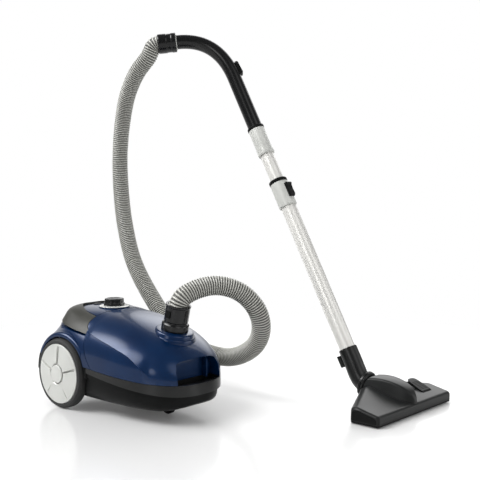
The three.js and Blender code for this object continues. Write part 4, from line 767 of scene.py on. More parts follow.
def swept_bar(line, radius, sides=32, name="bar"):
    """A round bar along a line of points, its sides turned as little as the line allows. The
    radius is a number, or one number for each point."""
    line = [Vector(p) for p in line]
    radii = np.broadcast_to(radius, len(line))
    ways = [(line[min(i + 1, len(line) - 1)] - line[max(i - 1, 0)]).normalized()
            for i in range(len(line))]
    side = ways[0].orthogonal().normalized()
    rings = []
    for point, way, reach in zip(line, ways, radii):
        side = (side - way * side.dot(way)).normalized()
        other = way.cross(side)
        rings.append([tuple(point + (side * math.cos(a) + other * math.sin(a)) * float(reach))
                      for a in (2 * math.pi * j / sides for j in range(sides))])
    return skin(rings, name)


GROOVE_RADII = [4, 4.5, 5, 6, 9, 15, 17, 15, 9, 6, 5, 4.5, 4]


def finger_groove(grow):
    """Deep behind the handle's middle for the fingers, and a slot along its two sides."""
    knots = []
    start = LID_SEAM_X - 30
    for k in range(13):
        angle = math.pi * (k / 12 - 0.5)
        x = BODY_REAR + GROOVE_INSET + (start - BODY_REAR) * (1 - max(0.0, math.cos(angle)) ** 1.2)
        side = math.copysign(half_width_at(x, GROOVE_INSET) + 8 * (1 - math.cos(angle)), angle)
        if k == 6:
            side = 0.0
        knots.append((x, side, handle_low_at(x) - GROOVE_RADII[k] + 1, GROOVE_RADII[k]))
    line = spline(knots)
    return swept_bar(line[::6, :3], line[::6, 3] + grow)


print("seam radius", round(SEAM_REACH, 1), "mm")

# %% [markdown]
# ## Covers, handle and base
# The rear cover and the lid are the same form cut apart at the seam. The lid opens round a pin
# just under the seam, so the seam is an arc about that pin and the two edges stay a hair apart
# at every angle. The grey handle is the top rear corner of the form, cut out as a loop.

# %% The rear cover and the handle
def both_sides(profile):
    """A profile turned about the axle, once on the left and once on the right."""
    return [turned("y", [(r, side * h) for r, h in profile], (0, 0, WHEEL_RADIUS))
            for side in (1, -1)]

def fenders():
    profile = [(0, 60), (FENDER_RADIUS, 60), (FENDER_RADIUS, FENDER_Y - 9)]
    profile += [(FENDER_RADIUS - 7 + 7 * math.cos(a), FENDER_Y - 9 + 9 * math.sin(a))
                for a in (math.pi / 2 * k / 8 for k in range(1, 9))]
    return both_sides([*profile, (0, FENDER_Y)])

def flares():
    """The trumpet-shaped shoulders that lead from under the handle out to the fenders."""
    bends = [(128, 40), (121, 56), (111.5, 70), (103, 82), (96, 94), (91, 104),
             (FENDER_RADIUS - 0.4, 113), (FENDER_RADIUS - 3, 117)]
    curve = [tuple(((a + b) * (1 - t) ** 2 + 4 * b * t * (1 - t) + (b + c) * t * t) / 2
                   for a, b, c in zip(*corners))
             for corners in zip(bends, bends[1:], bends[2:]) for t in (k / 5 for k in range(5))]
    room = cross(body_form(0, rear_power=9), block(-FAR, LID_SEAM_X, -FAR, FAR, 0, HANDLE_LOW_REAR))
    outline = [(0, 40), bends[0], *curve, bends[-1], (0, 117)]
    return [cross(trumpet, room) for trumpet in both_sides(outline)]

form = body_form(0, crease=True)
plain_form = body_form(0)
wheel_fenders = fenders()
rear_fenders = [cross(f, block(-FAR, LID_SEAM_X, -FAR, FAR, 0, FAR)) for f in wheel_fenders]
rear_outside = join(plain_form, *rear_fenders, *flares())
deck_top = top_at(KNOB_X, 0) + GAP
rear_shell = cut(cross(rear_outside, parted(1, SEAM / 2), behind_seam(SEAM)), handle_zone(SEAM),
                 cross(finger_groove(0), block(-FAR, FAR, -FAR, FAR, -FAR, HANDLE_LOW_REAR + 1)),
                 handle_slot(), *wheel_wells(0))
rear_hollow = cut(cross(body_form(WALL, WALL, 60, 80), behind_seam(GAP + WALL)),
                  handle_zone(GAP + WALL + 6), finger_groove(WALL), *wheel_wells(WALL))
rear_made = cut(rear_shell, rear_hollow)
rear_made = join(rear_made, cross(rod("z", 34, -6, 0, at=(KNOB_X, 0, deck_top)), behind_seam(GAP)))
rear_made = cut(rear_made, rod("z", 6, -30, FAR, at=(KNOB_X, 0, deck_top)),
                rod("z", 9.3, -40, FAR, at=(REWIND_X, 0, BODY_TOP)),
                rod("x", 7.3, -FAR, 14, at=(BODY_REAR, 0, OUTLET_Z)))
finished("smooth_rear_cover", rear_made, blue_lacquer, "canister", ["rear_cover"])
handle_made = cross(plain_form.copy(), handle_zone(0), behind_seam(SEAM))
for vertex in handle_made.vertices:
    x, y, z = vertex.co
    vertex.co.z += HANDLE_LIFT * eased(-x, -30, 45) * eased(z, 183, 196)
finished("smooth_handle", handle_made, grey_satin, "canister", ["carrying_handle"])

# %% [markdown]
# ### The lid
# The lid carries the raised collar round the hose inlet and, at its front, the recess for the
# fingers that lift it. The recess has a rib across it and opens on the black base below.

# %% The lid
INLET_PLACE = Matrix.Translation((INLET_X, 0, top_at(INLET_X, 0))) @ Matrix.Rotation(
    INLET_LEAN, 4, "Y")


def on_inlet(shape):
    """Places a solid that was made about the hose inlet's axis."""
    shape.transform(INLET_PLACE)
    return shape


def recess_outline(grow, sink):
    side, top, corner = RECESS_HALF + grow, RECESS_TOP + grow, 16
    low = PARTING_FRONT - sink
    return [(-side, low), (side, low), (side, top - corner - 6),
            (side - corner * 0.35, top - corner * 0.45), (side - corner, top - 3), (0, top),
            (corner - side, top - 3), (corner * 0.35 - side, top - corner * 0.45),
            (-side, top - corner - 6)]


def hinge_lug(side):
    plate = [(HINGE_X - 4.5, HINGE_Z), (HINGE_X - 4.5, BODY_TOP), (HINGE_X + 9, BODY_TOP),
             (HINGE_X + 4.5, HINGE_Z)]
    low, high = sorted((side * 33.3, side * 38.3))
    plate_part = cross(prism("y", plate, low, high), body_form(1, stations=60, points=80))
    return join(plate_part, rod("y", 4.5, low, high, at=(HINGE_X, 0, HINGE_Z), segments=32))


collar_profile = [(0, -14), (46, -14), (45.4, -9.5), (44, -5.5), (43, -4), (41.4, -3.2),
                  (40.4, -0.5), (39.8, 1.8), (38.6, 3.4), (37.2, 4.4), (35.4, 5), (0, 5)]
lid_outside = cross(join(form, on_inlet(turned("z", collar_profile))),
                    parted(1, SEAM / 2), in_front_of_seam())
lid_hollow = cut(body_form(WALL, WALL, 60, 80),
                 prism("x", recess_outline(WALL, FAR), RECESS_BACK - WALL, FAR))
lid_made = cut(lid_outside, lid_hollow, prism("x", recess_outline(0, FAR), RECESS_BACK, FAR))
socket = cut(on_inlet(rod("z", 25.8, -16, 0)), on_inlet(rod("z", 23, -17, 1)))
rib = cross(prism("x", [(36, -FAR), (40, -FAR), (40, RECESS_TOP + 1), (36, RECESS_TOP + 1)],
                  RECESS_BACK - 1, RECESS_BACK + 12),
            body_form(11, 7, 60, 80), parted(1, GAP))
lid_made = join(lid_made, hinge_lug(1), hinge_lug(-1), socket, rib)
lid_made = cut(lid_made, rod("y", 2.3, -38.6, 38.6, at=(HINGE_X, 0, HINGE_Z), segments=32),
               on_inlet(rod("z", 23, -FAR, FAR)))
finished("smooth_lid", lid_made, blue_lacquer, "lid", ["lid"])

# %% [markdown]
# ### The base and its band
# The black base is the same form stood a little further in, with a band of smoother plastic
# round it that takes the knocks. It holds the wheel wells, the motor and the dust bag.


# %% The base and the band
def band_depth_at(x):
    return BUMPER_LOW_REAR + (BUMPER_LOW_FRONT - BUMPER_LOW_REAR) * share(
        x, BUMPER_REAR_X, BODY_FRONT)


def band_zone(rear, grow):
    """The space from the band's lower edge to the parting line, forward of one place."""
    upper = [(rear, parting_at(rear) - GAP / 2), (FAR, parting_at(FAR) - GAP / 2)]
    lower = [(FAR, parting_at(FAR) - BUMPER_LOW_FRONT - grow),
             (BODY_FRONT, parting_at(BODY_FRONT) - BUMPER_LOW_FRONT - grow),
             (rear, parting_at(rear) - band_depth_at(rear) - grow)]
    return prism("y", [*upper, *lower], -FAR, FAR)


band = cross(cut(plain_form, body_form(BUMPER_THICKNESS)), band_zone(BUMPER_REAR_X, 0))
finished("smooth_band", band, black_satin, "canister", ["bumper_strip"])

inner_form = body_form(BUMPER_THICKNESS + GAP)
rim = cross(inner_form, join(band_zone(-FAR, -GAP), band_zone(BUMPER_REAR_X, -GAP)))
tub = cross(body_form(TUB_INSET, -TUB_DROP, 100, 140), parted(-1, -BUMPER_LOW_REAR / 2))
low_fenders = [cross(f, parted(-1, -GAP / 2), block(-FAR, FAR, -FAR, FAR, WHEEL_RADIUS, FAR))
               for f in wheel_fenders]
tub_wall = TUB_INSET + WALL
bulkhead = WHEEL_RADIUS + WELL_GAP + 8
cavity_form = cut(body_form(tub_wall, WALL, 60, 80), *wheel_wells(WALL))
cavity = join(cross(cavity_form, block(-FAR, bulkhead, -FAR, FAR, -FAR, FAR)),
              cross(cavity_form, block(bulkhead + WALL, RECESS_BACK - WALL, -FAR, FAR, -FAR, FAR)))
finger_half = [(296, 0), (294, RECESS_HALF / 2), (289, RECESS_HALF), (RECESS_BACK, RECESS_HALF)]
finger_floor = prism("z", [*[(x, -y) for x, y in finger_half[:0:-1]], *finger_half],
                     PARTING_FRONT - 7, FAR)
caster_at, axle_at = (CASTER_X, 0, FLOOR_HEIGHT), (0, 0, WHEEL_RADIUS)
base_made = cut(join(rim, tub, *low_fenders), *wheel_wells(0), cavity)
base_made = join(base_made, rod("z", 30, 1, 16, at=caster_at),
                 *[rod("y", 12, *sorted((side * 76, side * 96)), at=axle_at)
                   for side in (1, -1)])
base_made = cut(
    base_made, finger_floor, block(-FAR, BODY_REAR + 26, -42, 42, 48, 92),
    block(bulkhead - 1, bulkhead + WALL + 1, -44, 44, 52, 82),
    rod("z", 34, -FAR, 1, at=caster_at), rod("z", 26, -FAR, 7, at=caster_at),
    rod("z", 5.3, 0, 14, at=caster_at),
    rod("y", 6.3, 79.7, FAR, at=axle_at), rod("y", 6.3, -FAR, -79.7, at=axle_at))
finished("smooth_base", base_made, black_grained, "canister", ["base_housing"])

# %% [markdown]
# ## Wheels
# Each wheel is a rubber tyre on a moulded disc. The disc's face has five blades, each rising a
# little from one edge to the next, so a step runs out from the centre between them; that sawtooth
# in height is a rule of the angle, and the face is turned with a profile that follows it.


# %% Turning with rounded corners
def neighbours(outline):
    """Each corner, between the one before it and the one after it."""
    points = [Vector(p) for p in outline]
    return zip(points[-1:] + points[:-1], points, points[1:] + points[:1])

def bent(before, here, after, reach, steps):
    """The small curve that takes a corner's place."""
    first = here + (before - here).normalized() * reach
    last = here + (after - here).normalized() * reach
    return [tuple(first * (1 - t) ** 2 + here * 2 * t * (1 - t) + last * t * t)
            for t in (k / steps for k in range(steps + 1))]

def rounded(profile, radius=0.8, steps=4):
    """The profile with each corner off the axis eased by a small curve."""
    eased_profile = []
    for before, here, after in neighbours(profile):
        reach = min(radius, 0.4 * (before - here).length, 0.4 * (after - here).length)
        kept = here.x < 1e-6 or reach < 0.05
        eased_profile += [tuple(here)] if kept else bent(before, here, after, reach, steps)
    return eased_profile

def placed(shape, matrix):
    shape.transform(matrix)
    return shape


# %% The wheels
TYRE_INNER_Y, TYRE_OUTER_Y, TYRE_RIM = 102, 127, 63
HUB_CENTRE, HUB_BLADES, BLADE_STEP, BLADE_PHASE = 19, 5, 3.4, math.radians(23.4)


def hub_profile(angle):
    """The wheel disc's profile: its face rises through each blade and drops at the next."""
    turn = ((angle - BLADE_PHASE) / (2 * math.pi) * HUB_BLADES) % 1.0
    if turn < 0.93:
        rise = 0.9 * (turn / 0.93) ** 1.5
    elif turn < 0.945:
        rise = 0.9 - 2.3 * (turn - 0.93) / 0.015
    else:
        rise = -1.4 + 1.4 * max(0.0, turn - 0.975) / 0.025
    face = []
    for k in range(19):
        t = k / 18
        radius = TYRE_RIM - 3 + (HUB_CENTRE + 2 - TYRE_RIM + 3) * t
        swell = eased(t, 0, 0.14) * (1 - eased(t, 0.94, 1.0))
        dome = 0.8 + 2.2 * t
        face.append((radius, TYRE_OUTER_Y + dome + BLADE_STEP * rise * swell * (0.45 + 0.55 * t)))
    rim = TYRE_RIM - GAP
    return [(6.3, 100), (15, 100), (15, 115), (rim - 6, 115), (rim - 6, 103), (rim, 103),
            (rim, TYRE_OUTER_Y), (rim - 0.6, TYRE_OUTER_Y + 0.7),
            (rim - 1.8, TYRE_OUTER_Y + 0.8), *face,
            (HUB_CENTRE + 1.6, TYRE_OUTER_Y - 0.5), (HUB_CENTRE, TYRE_OUTER_Y - 0.5),
            (HUB_CENTRE - 0.2, TYRE_OUTER_Y + 4.6), (HUB_CENTRE - 1.2, TYRE_OUTER_Y + 5.3),
            (HUB_CENTRE - 8, TYRE_OUTER_Y + 5.8), (0, TYRE_OUTER_Y + 6), (0, 119.3), (6.3, 119.3)]


tyre_profile = rounded([
    (TYRE_RIM, TYRE_INNER_Y), (WHEEL_RADIUS - 3, TYRE_INNER_Y), (WHEEL_RADIUS, TYRE_INNER_Y + 5),
    (WHEEL_RADIUS, TYRE_OUTER_Y - 7), (WHEEL_RADIUS - 3, TYRE_OUTER_Y - 1),
    (WHEEL_RADIUS - 6, TYRE_OUTER_Y), (TYRE_RIM, TYRE_OUTER_Y)], 2.4, 6)
for side, name in ((1, "left"), (-1, "right")):
    turn = Matrix.Translation((0, 0, WHEEL_RADIUS)) @ Matrix.Rotation(
        0 if side > 0 else math.pi, 4, "Z")
    disc = turned_by_angle("y", hub_profile, segments=720)
    finished(name + "_disc", placed(disc, turn), silver_paint, name + "_wheel",
             [name + "_wheel"], sharp=24)
    finished(name + "_rubber", placed(turned("y", tyre_profile, segments=160), turn), rubber,
             name + "_wheel", [name + "_tyre"])

# %% [markdown]
# ## Controls on the deck
# The power knob turns on a silver ring. It has six soft lobes that a foot or a hand can push
# round, and a shallow dish on top.

# %% The knob and its ring
KNOB_PLACE = Matrix.Translation((KNOB_X, 0, deck_top))
ring_profile = rounded([(11, 0.3), (32, 0.3), (32, 1.4), (30, 2.4), (11, 2.4)], 0.5)
finished("smooth_dial_ring", placed(turned("z", ring_profile), KNOB_PLACE), silver_paint,
         "canister", ["dial_ring"])


KNOB_RADIUS, KNOB_LOBES, KNOB_POINTS = 22.5, 6, 144

def knob_ring(scale, height):
    ring = []
    for k in range(KNOB_POINTS):
        angle = 2 * math.pi * k / KNOB_POINTS
        radius = KNOB_RADIUS * scale * (1 - 0.045 * (1 - math.cos(KNOB_LOBES * angle)))
        ring.append((radius * math.cos(angle), radius * math.sin(angle), height))
    return ring

knob_steps = [(0.985, 2.7), (1, 3.2), (1, 7.2), (0.985, 7.9), (0.95, 8.3), (0.935, 9), (0.93, 15.2),
              (0.915, 16.6), (0.89, 17.4), (0.86, 17.7)]
knob_cap = skin([knob_ring(scale, height) for scale, height in knob_steps], "knob")
dish = skin([[(60 * math.sin(b) * math.cos(a), 60 * math.sin(b) * math.sin(a),
               75.3 - 60 * math.cos(b)) for a in (2 * math.pi * k / 72 for k in range(72))]
             for b in (0.004 + 1.2 * j / 60 for j in range(61))], "dish")
knob_made = join(cut(knob_cap, dish), rod("z", 5, -14, 4.7, segments=48))
finished("smooth_knob", placed(knob_made, KNOB_PLACE), black_polished, "power_knob",
         ["power_knob"])

# %% [markdown]
# ## The hose connector
# The hose plugs into the lid with a turned bayonet piece: a stepped foot, a waisted body and a
# lip, with a sprung button in a pocket on each side.

# %% The connector
CONNECTOR_PLACE = Matrix.Translation(tuple(CONNECTOR_SEAT)) @ Matrix.Rotation(INLET_LEAN, 4, "Y")
connector_profile = rounded([
    (17.5, -21), (22.7, -21), (22.7, 0.3), (28, 0.3), (28, 13), (25.6, 16), (24, 16), (24, 18),
    (25, 20), (25, 49), (26, 51), (26, 54), (21.1, 54), (21.1, 42), (17.5, 42)], 0.6)
connector_made = turned("z", connector_profile)
pockets = [block(-6.3, 6.3, *sorted((side * 19.2, side * 60)), 27.7, 42.3) for side in (1, -1)]
finished("smooth_connector", placed(cut(connector_made, *pockets), CONNECTOR_PLACE),
         black_polished, "hose_end", ["hose_connector"])

# %% [markdown]
# ## The telescopic wand
# Two thin steel tubes slide in each other. The collar clamps them, the socket at the top takes
# the grip. All are turned about the tube's axis, which leans back towards the user.

# %% The wand's turned pieces
NOZZLE_Y, WAND_FOOT_X, WAND_FOOT_Z = 332, 417, 115.5
WAND_PLACE = Matrix.Translation((WAND_FOOT_X, NOZZLE_Y, WAND_FOOT_Z)) @ Matrix.Rotation(
    -WAND_LEAN, 4, "Y")
COLLAR_START, COLLAR_END, COLLAR_SPLIT = 347, 416, 385
SOCKET_START, SOCKET_END = 483, 557
WAND_PIECES = [
    ("smooth_lower_tube", "lower_tube", "wand", tube_steel, "tube_metal",
     [(16.3, -28), (17.5, -28), (17.5, COLLAR_SPLIT - 1), (16.3, COLLAR_SPLIT - 1)]),
    ("smooth_upper_tube", "upper_tube", "upper_wand", tube_steel, "tube_metal",
     [(14.6, COLLAR_SPLIT - 330), (15.8, COLLAR_SPLIT - 330), (15.8, SOCKET_START + 30),
      (14.6, SOCKET_START + 30)]),
    ("smooth_collar", "telescope_collar", "wand", silver_paint, "silver_plastic",
     [(17.8, COLLAR_START), (20, COLLAR_START), (21, COLLAR_START + 2), (21, COLLAR_END - 9),
      (16.4, COLLAR_END - 9), (16.4, COLLAR_SPLIT), (17.8, COLLAR_SPLIT)]),
    ("smooth_collar_cap", "collar_cap", "wand", black_grained, "base_black",
     [(16.4, COLLAR_END - 8.7), (21.6, COLLAR_END - 8.7), (21.6, COLLAR_END - 2),
      (19.6, COLLAR_END), (16.4, COLLAR_END)]),
    ("smooth_socket", "grip_socket", "upper_wand", silver_paint, "silver_plastic",
     [(16.1, SOCKET_START), (19, SOCKET_START), (20, SOCKET_START + 3),
      (18.4, SOCKET_START + 22), (19, SOCKET_END - 7), (17.3, SOCKET_END - 7),
      (17.3, SOCKET_START + 31), (16.1, SOCKET_START + 31)]),
    ("smooth_socket_ring", "socket_ring", "upper_wand", black_grained, "base_black",
     [(17.3, SOCKET_END - 6.7), (20, SOCKET_END - 6.7), (20, SOCKET_END - 1), (19, SOCKET_END),
      (17.3, SOCKET_END)]),
]


def section_of(profile, place_matrix):
    return placed(turned("z", rounded(profile, 0.6), segments=128), place_matrix)


for name, solid_name, body, finish, slot, profile in WAND_PIECES:
    finished(name, section_of(profile, WAND_PLACE), finish, body, [solid_name])

# %% The release on the collar
RELEASE_START = COLLAR_END - 52
saddle = [(17, 0), (24, 0), (27, 5), (26, 17), (27, 28), (29, 30), (28, 34), (17, 34)]
saddle_made = prism("y", [(x, z + RELEASE_START) for x, z in rounded(saddle, 1.6, 5)], -8, 8)
saddle_made = cut(saddle_made, rod("z", 21.3, 0, FAR))
finished("smooth_release", placed(saddle_made, WAND_PLACE), black_grained, "tube_release",
         ["tube_release"])

# %% [markdown]
# ### The bent grip
# The grip is a tube that goes on straight from the socket and then bends back over in a quarter
# turn. A light sleeve is pressed on its end, and the cuff turns on the sleeve so that the hose
# never twists.


# %% Sweeping along a curve
def bezier(a, b, c, d, steps=48):
    a, b, c, d = (np.array(p, float) for p in (a, b, c, d))
    t = np.linspace(0, 1, steps + 1)[:, None]
    return a * (1 - t) ** 3 + 3 * b * t * (1 - t) ** 2 + 3 * c * t ** 2 * (1 - t) + d * t ** 3


def stretched(line, ends):
    """The line with each end carried on straight by a length."""
    line = np.array(line, float)
    first = line[0] + (line[0] - line[1]) / np.linalg.norm(line[0] - line[1]) * ends
    last = line[-1] + (line[-1] - line[-2]) / np.linalg.norm(line[-1] - line[-2]) * ends
    return np.vstack([first, line, last])


def looking(way):
    """The turn that takes +Z to a direction."""
    return Vector((0, 0, 1)).rotation_difference(Vector(way)).to_matrix().to_4x4()


# %% Grip, sleeve, cuff and slider
GRIP_PLACE = WAND_PLACE @ Matrix.Rotation(math.radians(225), 4, "Z")
GRIP_FOOT, GRIP_KNEE = SOCKET_START + 31.3, SOCKET_END + 135
GRIP_TIP = (112, 0, GRIP_KNEE + 146)
grip_line = np.vstack([
    np.linspace((0, 0, GRIP_FOOT), (0, 0, GRIP_KNEE), 24)[:-1],
    bezier((0, 0, GRIP_KNEE), (0, 0, GRIP_KNEE + 88), (40, 0, GRIP_KNEE + 127.4),
           (94.6, 0, GRIP_KNEE + 141.5)),
    [GRIP_TIP]])
grip_line = along_line(grip_line, 0, 1, 4.0)
grip_made = cut(swept_bar(grip_line, 17, 96, "grip"),
                swept_bar(stretched(grip_line, 5), 14, 48, "grip_bore"))
finished("smooth_grip", placed(grip_made, GRIP_PLACE), black_polished, "upper_wand",
         ["handgrip"])

END_WAY = Vector((17.4, 0, 4.5)).normalized()
GRIP_END_PLACE = GRIP_PLACE @ Matrix.Translation(GRIP_TIP) @ looking(END_WAY)
sleeve_profile = [(14, 0.3), (17.6, 0.3), (17.6, -16), (19.7, -16), (19.7, 20), (14, 20)]
finished("smooth_sleeve", section_of(sleeve_profile, GRIP_END_PLACE), silver_paint, "upper_wand",
         ["swivel_sleeve"])
cuff_profile = rounded([
    (20, -14), (23.5, -14), (23.5, -4), (22.5, -2), (22.5, 8), (23.5, 10), (23.5, 27),
    (22.5, 30), (21.4, 30), (20.8, 21), (20, 21)], 0.7)
cuff_made = turned("z", cuff_profile)
finished("smooth_cuff", placed(cuff_made, GRIP_END_PLACE), black_polished, "hose_cuff",
         ["hose_cuff"])

SLIDER_SHARE, SLIDER_HALF = 0.52, 17
grip_steps = np.concatenate([[0], np.cumsum(np.linalg.norm(np.diff(grip_line, axis=0), axis=1))])
slider_at = [float(np.interp(SLIDER_SHARE * grip_steps[-1], grip_steps, grip_line[:, k]))
             for k in range(3)]
nearest = int(np.searchsorted(grip_steps, SLIDER_SHARE * grip_steps[-1]))
slider_way = Vector(grip_line[nearest] - grip_line[nearest - 1]).normalized()
pad_outline = rounded([(-SLIDER_HALF, -3), (-SLIDER_HALF, 4), (3 - SLIDER_HALF, 6.5),
                       (SLIDER_HALF - 3, 6.5), (SLIDER_HALF, 4), (SLIDER_HALF, -3)], 1.5)
pad = prism("y", pad_outline, -8, 8)
for k in range(5):
    pad = cut(pad, rod("y", 1.0, -9, 9, at=(4 * k - 8, 0, 6.9), segments=24))
pad.transform(Matrix.Translation(slider_at) @ Matrix.Translation(
    Vector((-slider_way.z, 0, slider_way.x)) * 17) @ Matrix.Rotation(
    math.atan2(slider_way.x, slider_way.z) - math.pi / 2, 4, "Y"))
grip_room = swept_bar(grip_line, 17.3, 64, "grip_room")
slider_made = placed(cut(pad, grip_room), GRIP_PLACE)
slide = next(j for j in frame["record"]["behaviour"]["joints"] if j["name"] == "suction_slide")
for part_of_travel in (0.5, 1.0):
    travel = Vector(slide["axis"]) * max(slide["range_m"], key=abs) / MM * part_of_travel
    room = placed(grip_room.copy(), GRIP_PLACE)
    slider_made = cut(slider_made, placed(room, Matrix.Translation(-travel)))
finished("smooth_slider", slider_made, black_grained, "suction_slider",
         ["suction_slider"])

# %% [markdown]
# ## The floor nozzle
# The nozzle is a wide low shell on a sole plate, with a tongue over the neck that runs out to its
# front edge. An elbow joins it to the wand: it swivels in the ring and tilts on the barrel.

# %% The elbow and the neck
NOZZLE_PLACE = Matrix.Translation((0, NOZZLE_Y, 0))
LEAN_WAY = Vector((-math.sin(WAND_LEAN), 0, math.cos(WAND_LEAN)))
NECK_DIP = math.radians(17)
NECK_WAY = Vector((math.cos(NECK_DIP), 0, -math.sin(NECK_DIP)))
ELBOW_TOP = Vector((WAND_FOOT_X, 0, WAND_FOOT_Z))
RING_CENTRE = Vector((467, 0, 45))
PIVOT_X, PIVOT_Z = 506, 33
knee = ELBOW_TOP - LEAN_WAY * 34
elbow_foot = RING_CENTRE - NECK_WAY * 4
elbow_line = np.vstack([
    np.linspace(tuple(ELBOW_TOP), tuple(knee), 8)[:-1],
    bezier(knee, knee - LEAN_WAY * 16, elbow_foot - NECK_WAY * 16, elbow_foot, 32)])
at_ring = Matrix.Translation(RING_CENTRE) @ looking(NECK_WAY)
at_elbow = Matrix.Translation(ELBOW_TOP) @ looking(LEAN_WAY)
flange = turned("z", rounded([(0, -6), (26.5, -6), (28, -4.5), (28, -0.3), (0, -0.3)], 0.5))
elbow_made = join(swept_bar(elbow_line, 20.5, 64, "elbow"), placed(flange, at_ring))
elbow_made = cut(elbow_made, swept_bar(stretched(elbow_line, 12), 14.5, 32, "elbow_bore"),
                 placed(rod("z", 17.8, -28.3, FAR), at_elbow))
finished("smooth_elbow", placed(elbow_made, NOZZLE_PLACE), black_satin, "wand",
         ["nozzle_elbow"])
neck_length = math.hypot(PIVOT_X - RING_CENTRE.x, PIVOT_Z - RING_CENTRE.z)
neck_flange = turned("z", rounded([(0, 0.3), (27, 0.3), (28, 2), (26, 6), (0, 6)], 0.5))
neck_made = join(rod("y", 22, -24, 24, at=(PIVOT_X, 0, PIVOT_Z)),
                 placed(rod("z", 19, 0, neck_length), at_ring), placed(neck_flange, at_ring))
neck_made = cut(neck_made, placed(rod("z", 13.5, -1, neck_length), at_ring),
                block(PIVOT_X - 8, PIVOT_X + 10, -12, 12, -FAR, PIVOT_Z))
finished("smooth_neck", placed(neck_made, NOZZLE_PLACE), black_satin, "neck",
         ["nozzle_neck"])

# %% Forms of the nozzle
NOZZLE_FRONT, NOZZLE_HALF, NOZZLE_NECK_HALF = 589, 143, 44
NOZZLE_LIP, NOZZLE_SIDE_HEIGHT, NOZZLE_TOP_HEIGHT = 23, 34, 50
SOLE_TOP = 5.7
PEDAL_X, PEDAL_Z, PEDAL_Y, PEDAL_HALF = 560, 28.5, 86, 17


def soft(corners, radii, steps=5):
    """A polygon with each corner eased; every corner gives the same number of points."""
    points = []
    for (before, here, after), radius in zip(neighbours(corners), radii):
        reach = min(radius, 0.45 * (before - here).length, 0.45 * (after - here).length)
        points += bent(before, here, after, reach, steps)
    return points

def nozzle_section(y, inset, base):
    side = share(abs(y), NOZZLE_NECK_HALF, NOZZLE_HALF)
    edge = share(abs(y), NOZZLE_HALF - inset - 6, NOZZLE_HALF - inset) ** 2
    front = NOZZLE_FRONT - inset - 2.5 * edge
    rear = NOZZLE_FRONT - (108 + (65 - 108) * side) + inset + 3 * edge
    low = NOZZLE_LIP - inset - 3 * edge
    high = NOZZLE_TOP_HEIGHT + (NOZZLE_SIDE_HEIGHT - NOZZLE_TOP_HEIGHT) * side - inset - 4 * edge
    corners = [(front, base), (front, low - 3), (front - 4, low + 1),
               ((front + rear) / 2, (low + high) / 2 + 1.5), (rear + 14, high), (rear, high - 4),
               (rear - 1, base)]
    return [(x, y, z) for x, z in soft(corners, (0.6, 4, 4, 12, 9, 7, 0.6))]


def nozzle_form(inset, base):
    end = NOZZLE_HALF - inset
    half = sorted({*np.linspace(0.01, 0.955, 24), *np.linspace(0.956, 1, 10),
                   NOZZLE_NECK_HALF / end})
    places = [-t * end for t in reversed(half)] + [t * end for t in half]
    return skin([nozzle_section(y, inset, base) for y in places], "nozzle_form")


def hump_form(inset):
    rear, tip = RING_CENTRE.x + 11 + inset, NOZZLE_FRONT - 2 - inset * 2
    foot = NOZZLE_LIP - 8 - inset
    rings = []
    for i in range(61):
        t = 1 - (1 - i / 60) ** 1.7
        side = (33 - inset) * rounded_end(0.05 + 0.95 * t, 2.2) + 0.4
        crest = NOZZLE_LIP + (70 - NOZZLE_LIP - inset) * rounded_end(t, 2.3) - 5 * (1 - t) ** 6
        flat = 0.74 * side
        corners = [(side * 1.1, foot), (flat, crest - 2 * (1 - t)), (0, crest + 1),
                   (-flat, crest - 2 * (1 - t)), (-side * 1.1, foot)]
        rings.append([(rear + (tip - rear) * t ** 0.9, y, z)
                      for y, z in soft(corners, (0.6, 5, 18, 5, 0.6), steps=8)])
    return skin(rings, "hump_form")


def pedal_pocket(grow):
    outline = [(5 + grow, -4.5 - grow), (5 + grow, 40), (-49 - grow, 40), (-49 - grow, 7 - grow),
               (-5, -4.5 - grow)]
    return prism("y", [(PEDAL_X + x, PEDAL_Z + z) for x, z in outline],
                 PEDAL_Y - PEDAL_HALF - 1 - grow, PEDAL_Y + PEDAL_HALF + 1 + grow)


def pedal_pins(grow):
    return rod("y", 2 + grow, -PEDAL_HALF - 3 - grow, PEDAL_HALF + 3 + grow,
               at=(PEDAL_X, PEDAL_Y, PEDAL_Z), segments=24)


def neck_room():
    channel = [(PIVOT_X, PIVOT_Z - 21), (PIVOT_X, PIVOT_Z + 23), (RING_CENTRE.x + 4, PIVOT_Z + 37),
               (RING_CENTRE.x - 40, PIVOT_Z + 37), (RING_CENTRE.x - 40, PIVOT_Z - 21)]
    return join(rod("y", 23, -24.5, 24.5, at=(PIVOT_X, 0, PIVOT_Z)),
                prism("y", channel, -20.5, 20.5))


def neck_sweep():
    """The room that the neck takes while the nozzle tilts between its two limits."""
    room = join(placed(rod("z", 20, 0, neck_length), at_ring),
                placed(rod("z", 29, -1, 7), at_ring))
    swing = []
    for k in range(10):
        turn = Matrix.Rotation(math.radians(-8 + 26 * k / 9), 4, "Y")
        about = Matrix.Translation((PIVOT_X, 0, PIVOT_Z)) @ turn @ Matrix.Translation(
            (-PIVOT_X, 0, -PIVOT_Z))
        swing.append(placed(room.copy(), about))
    return join(*swing)


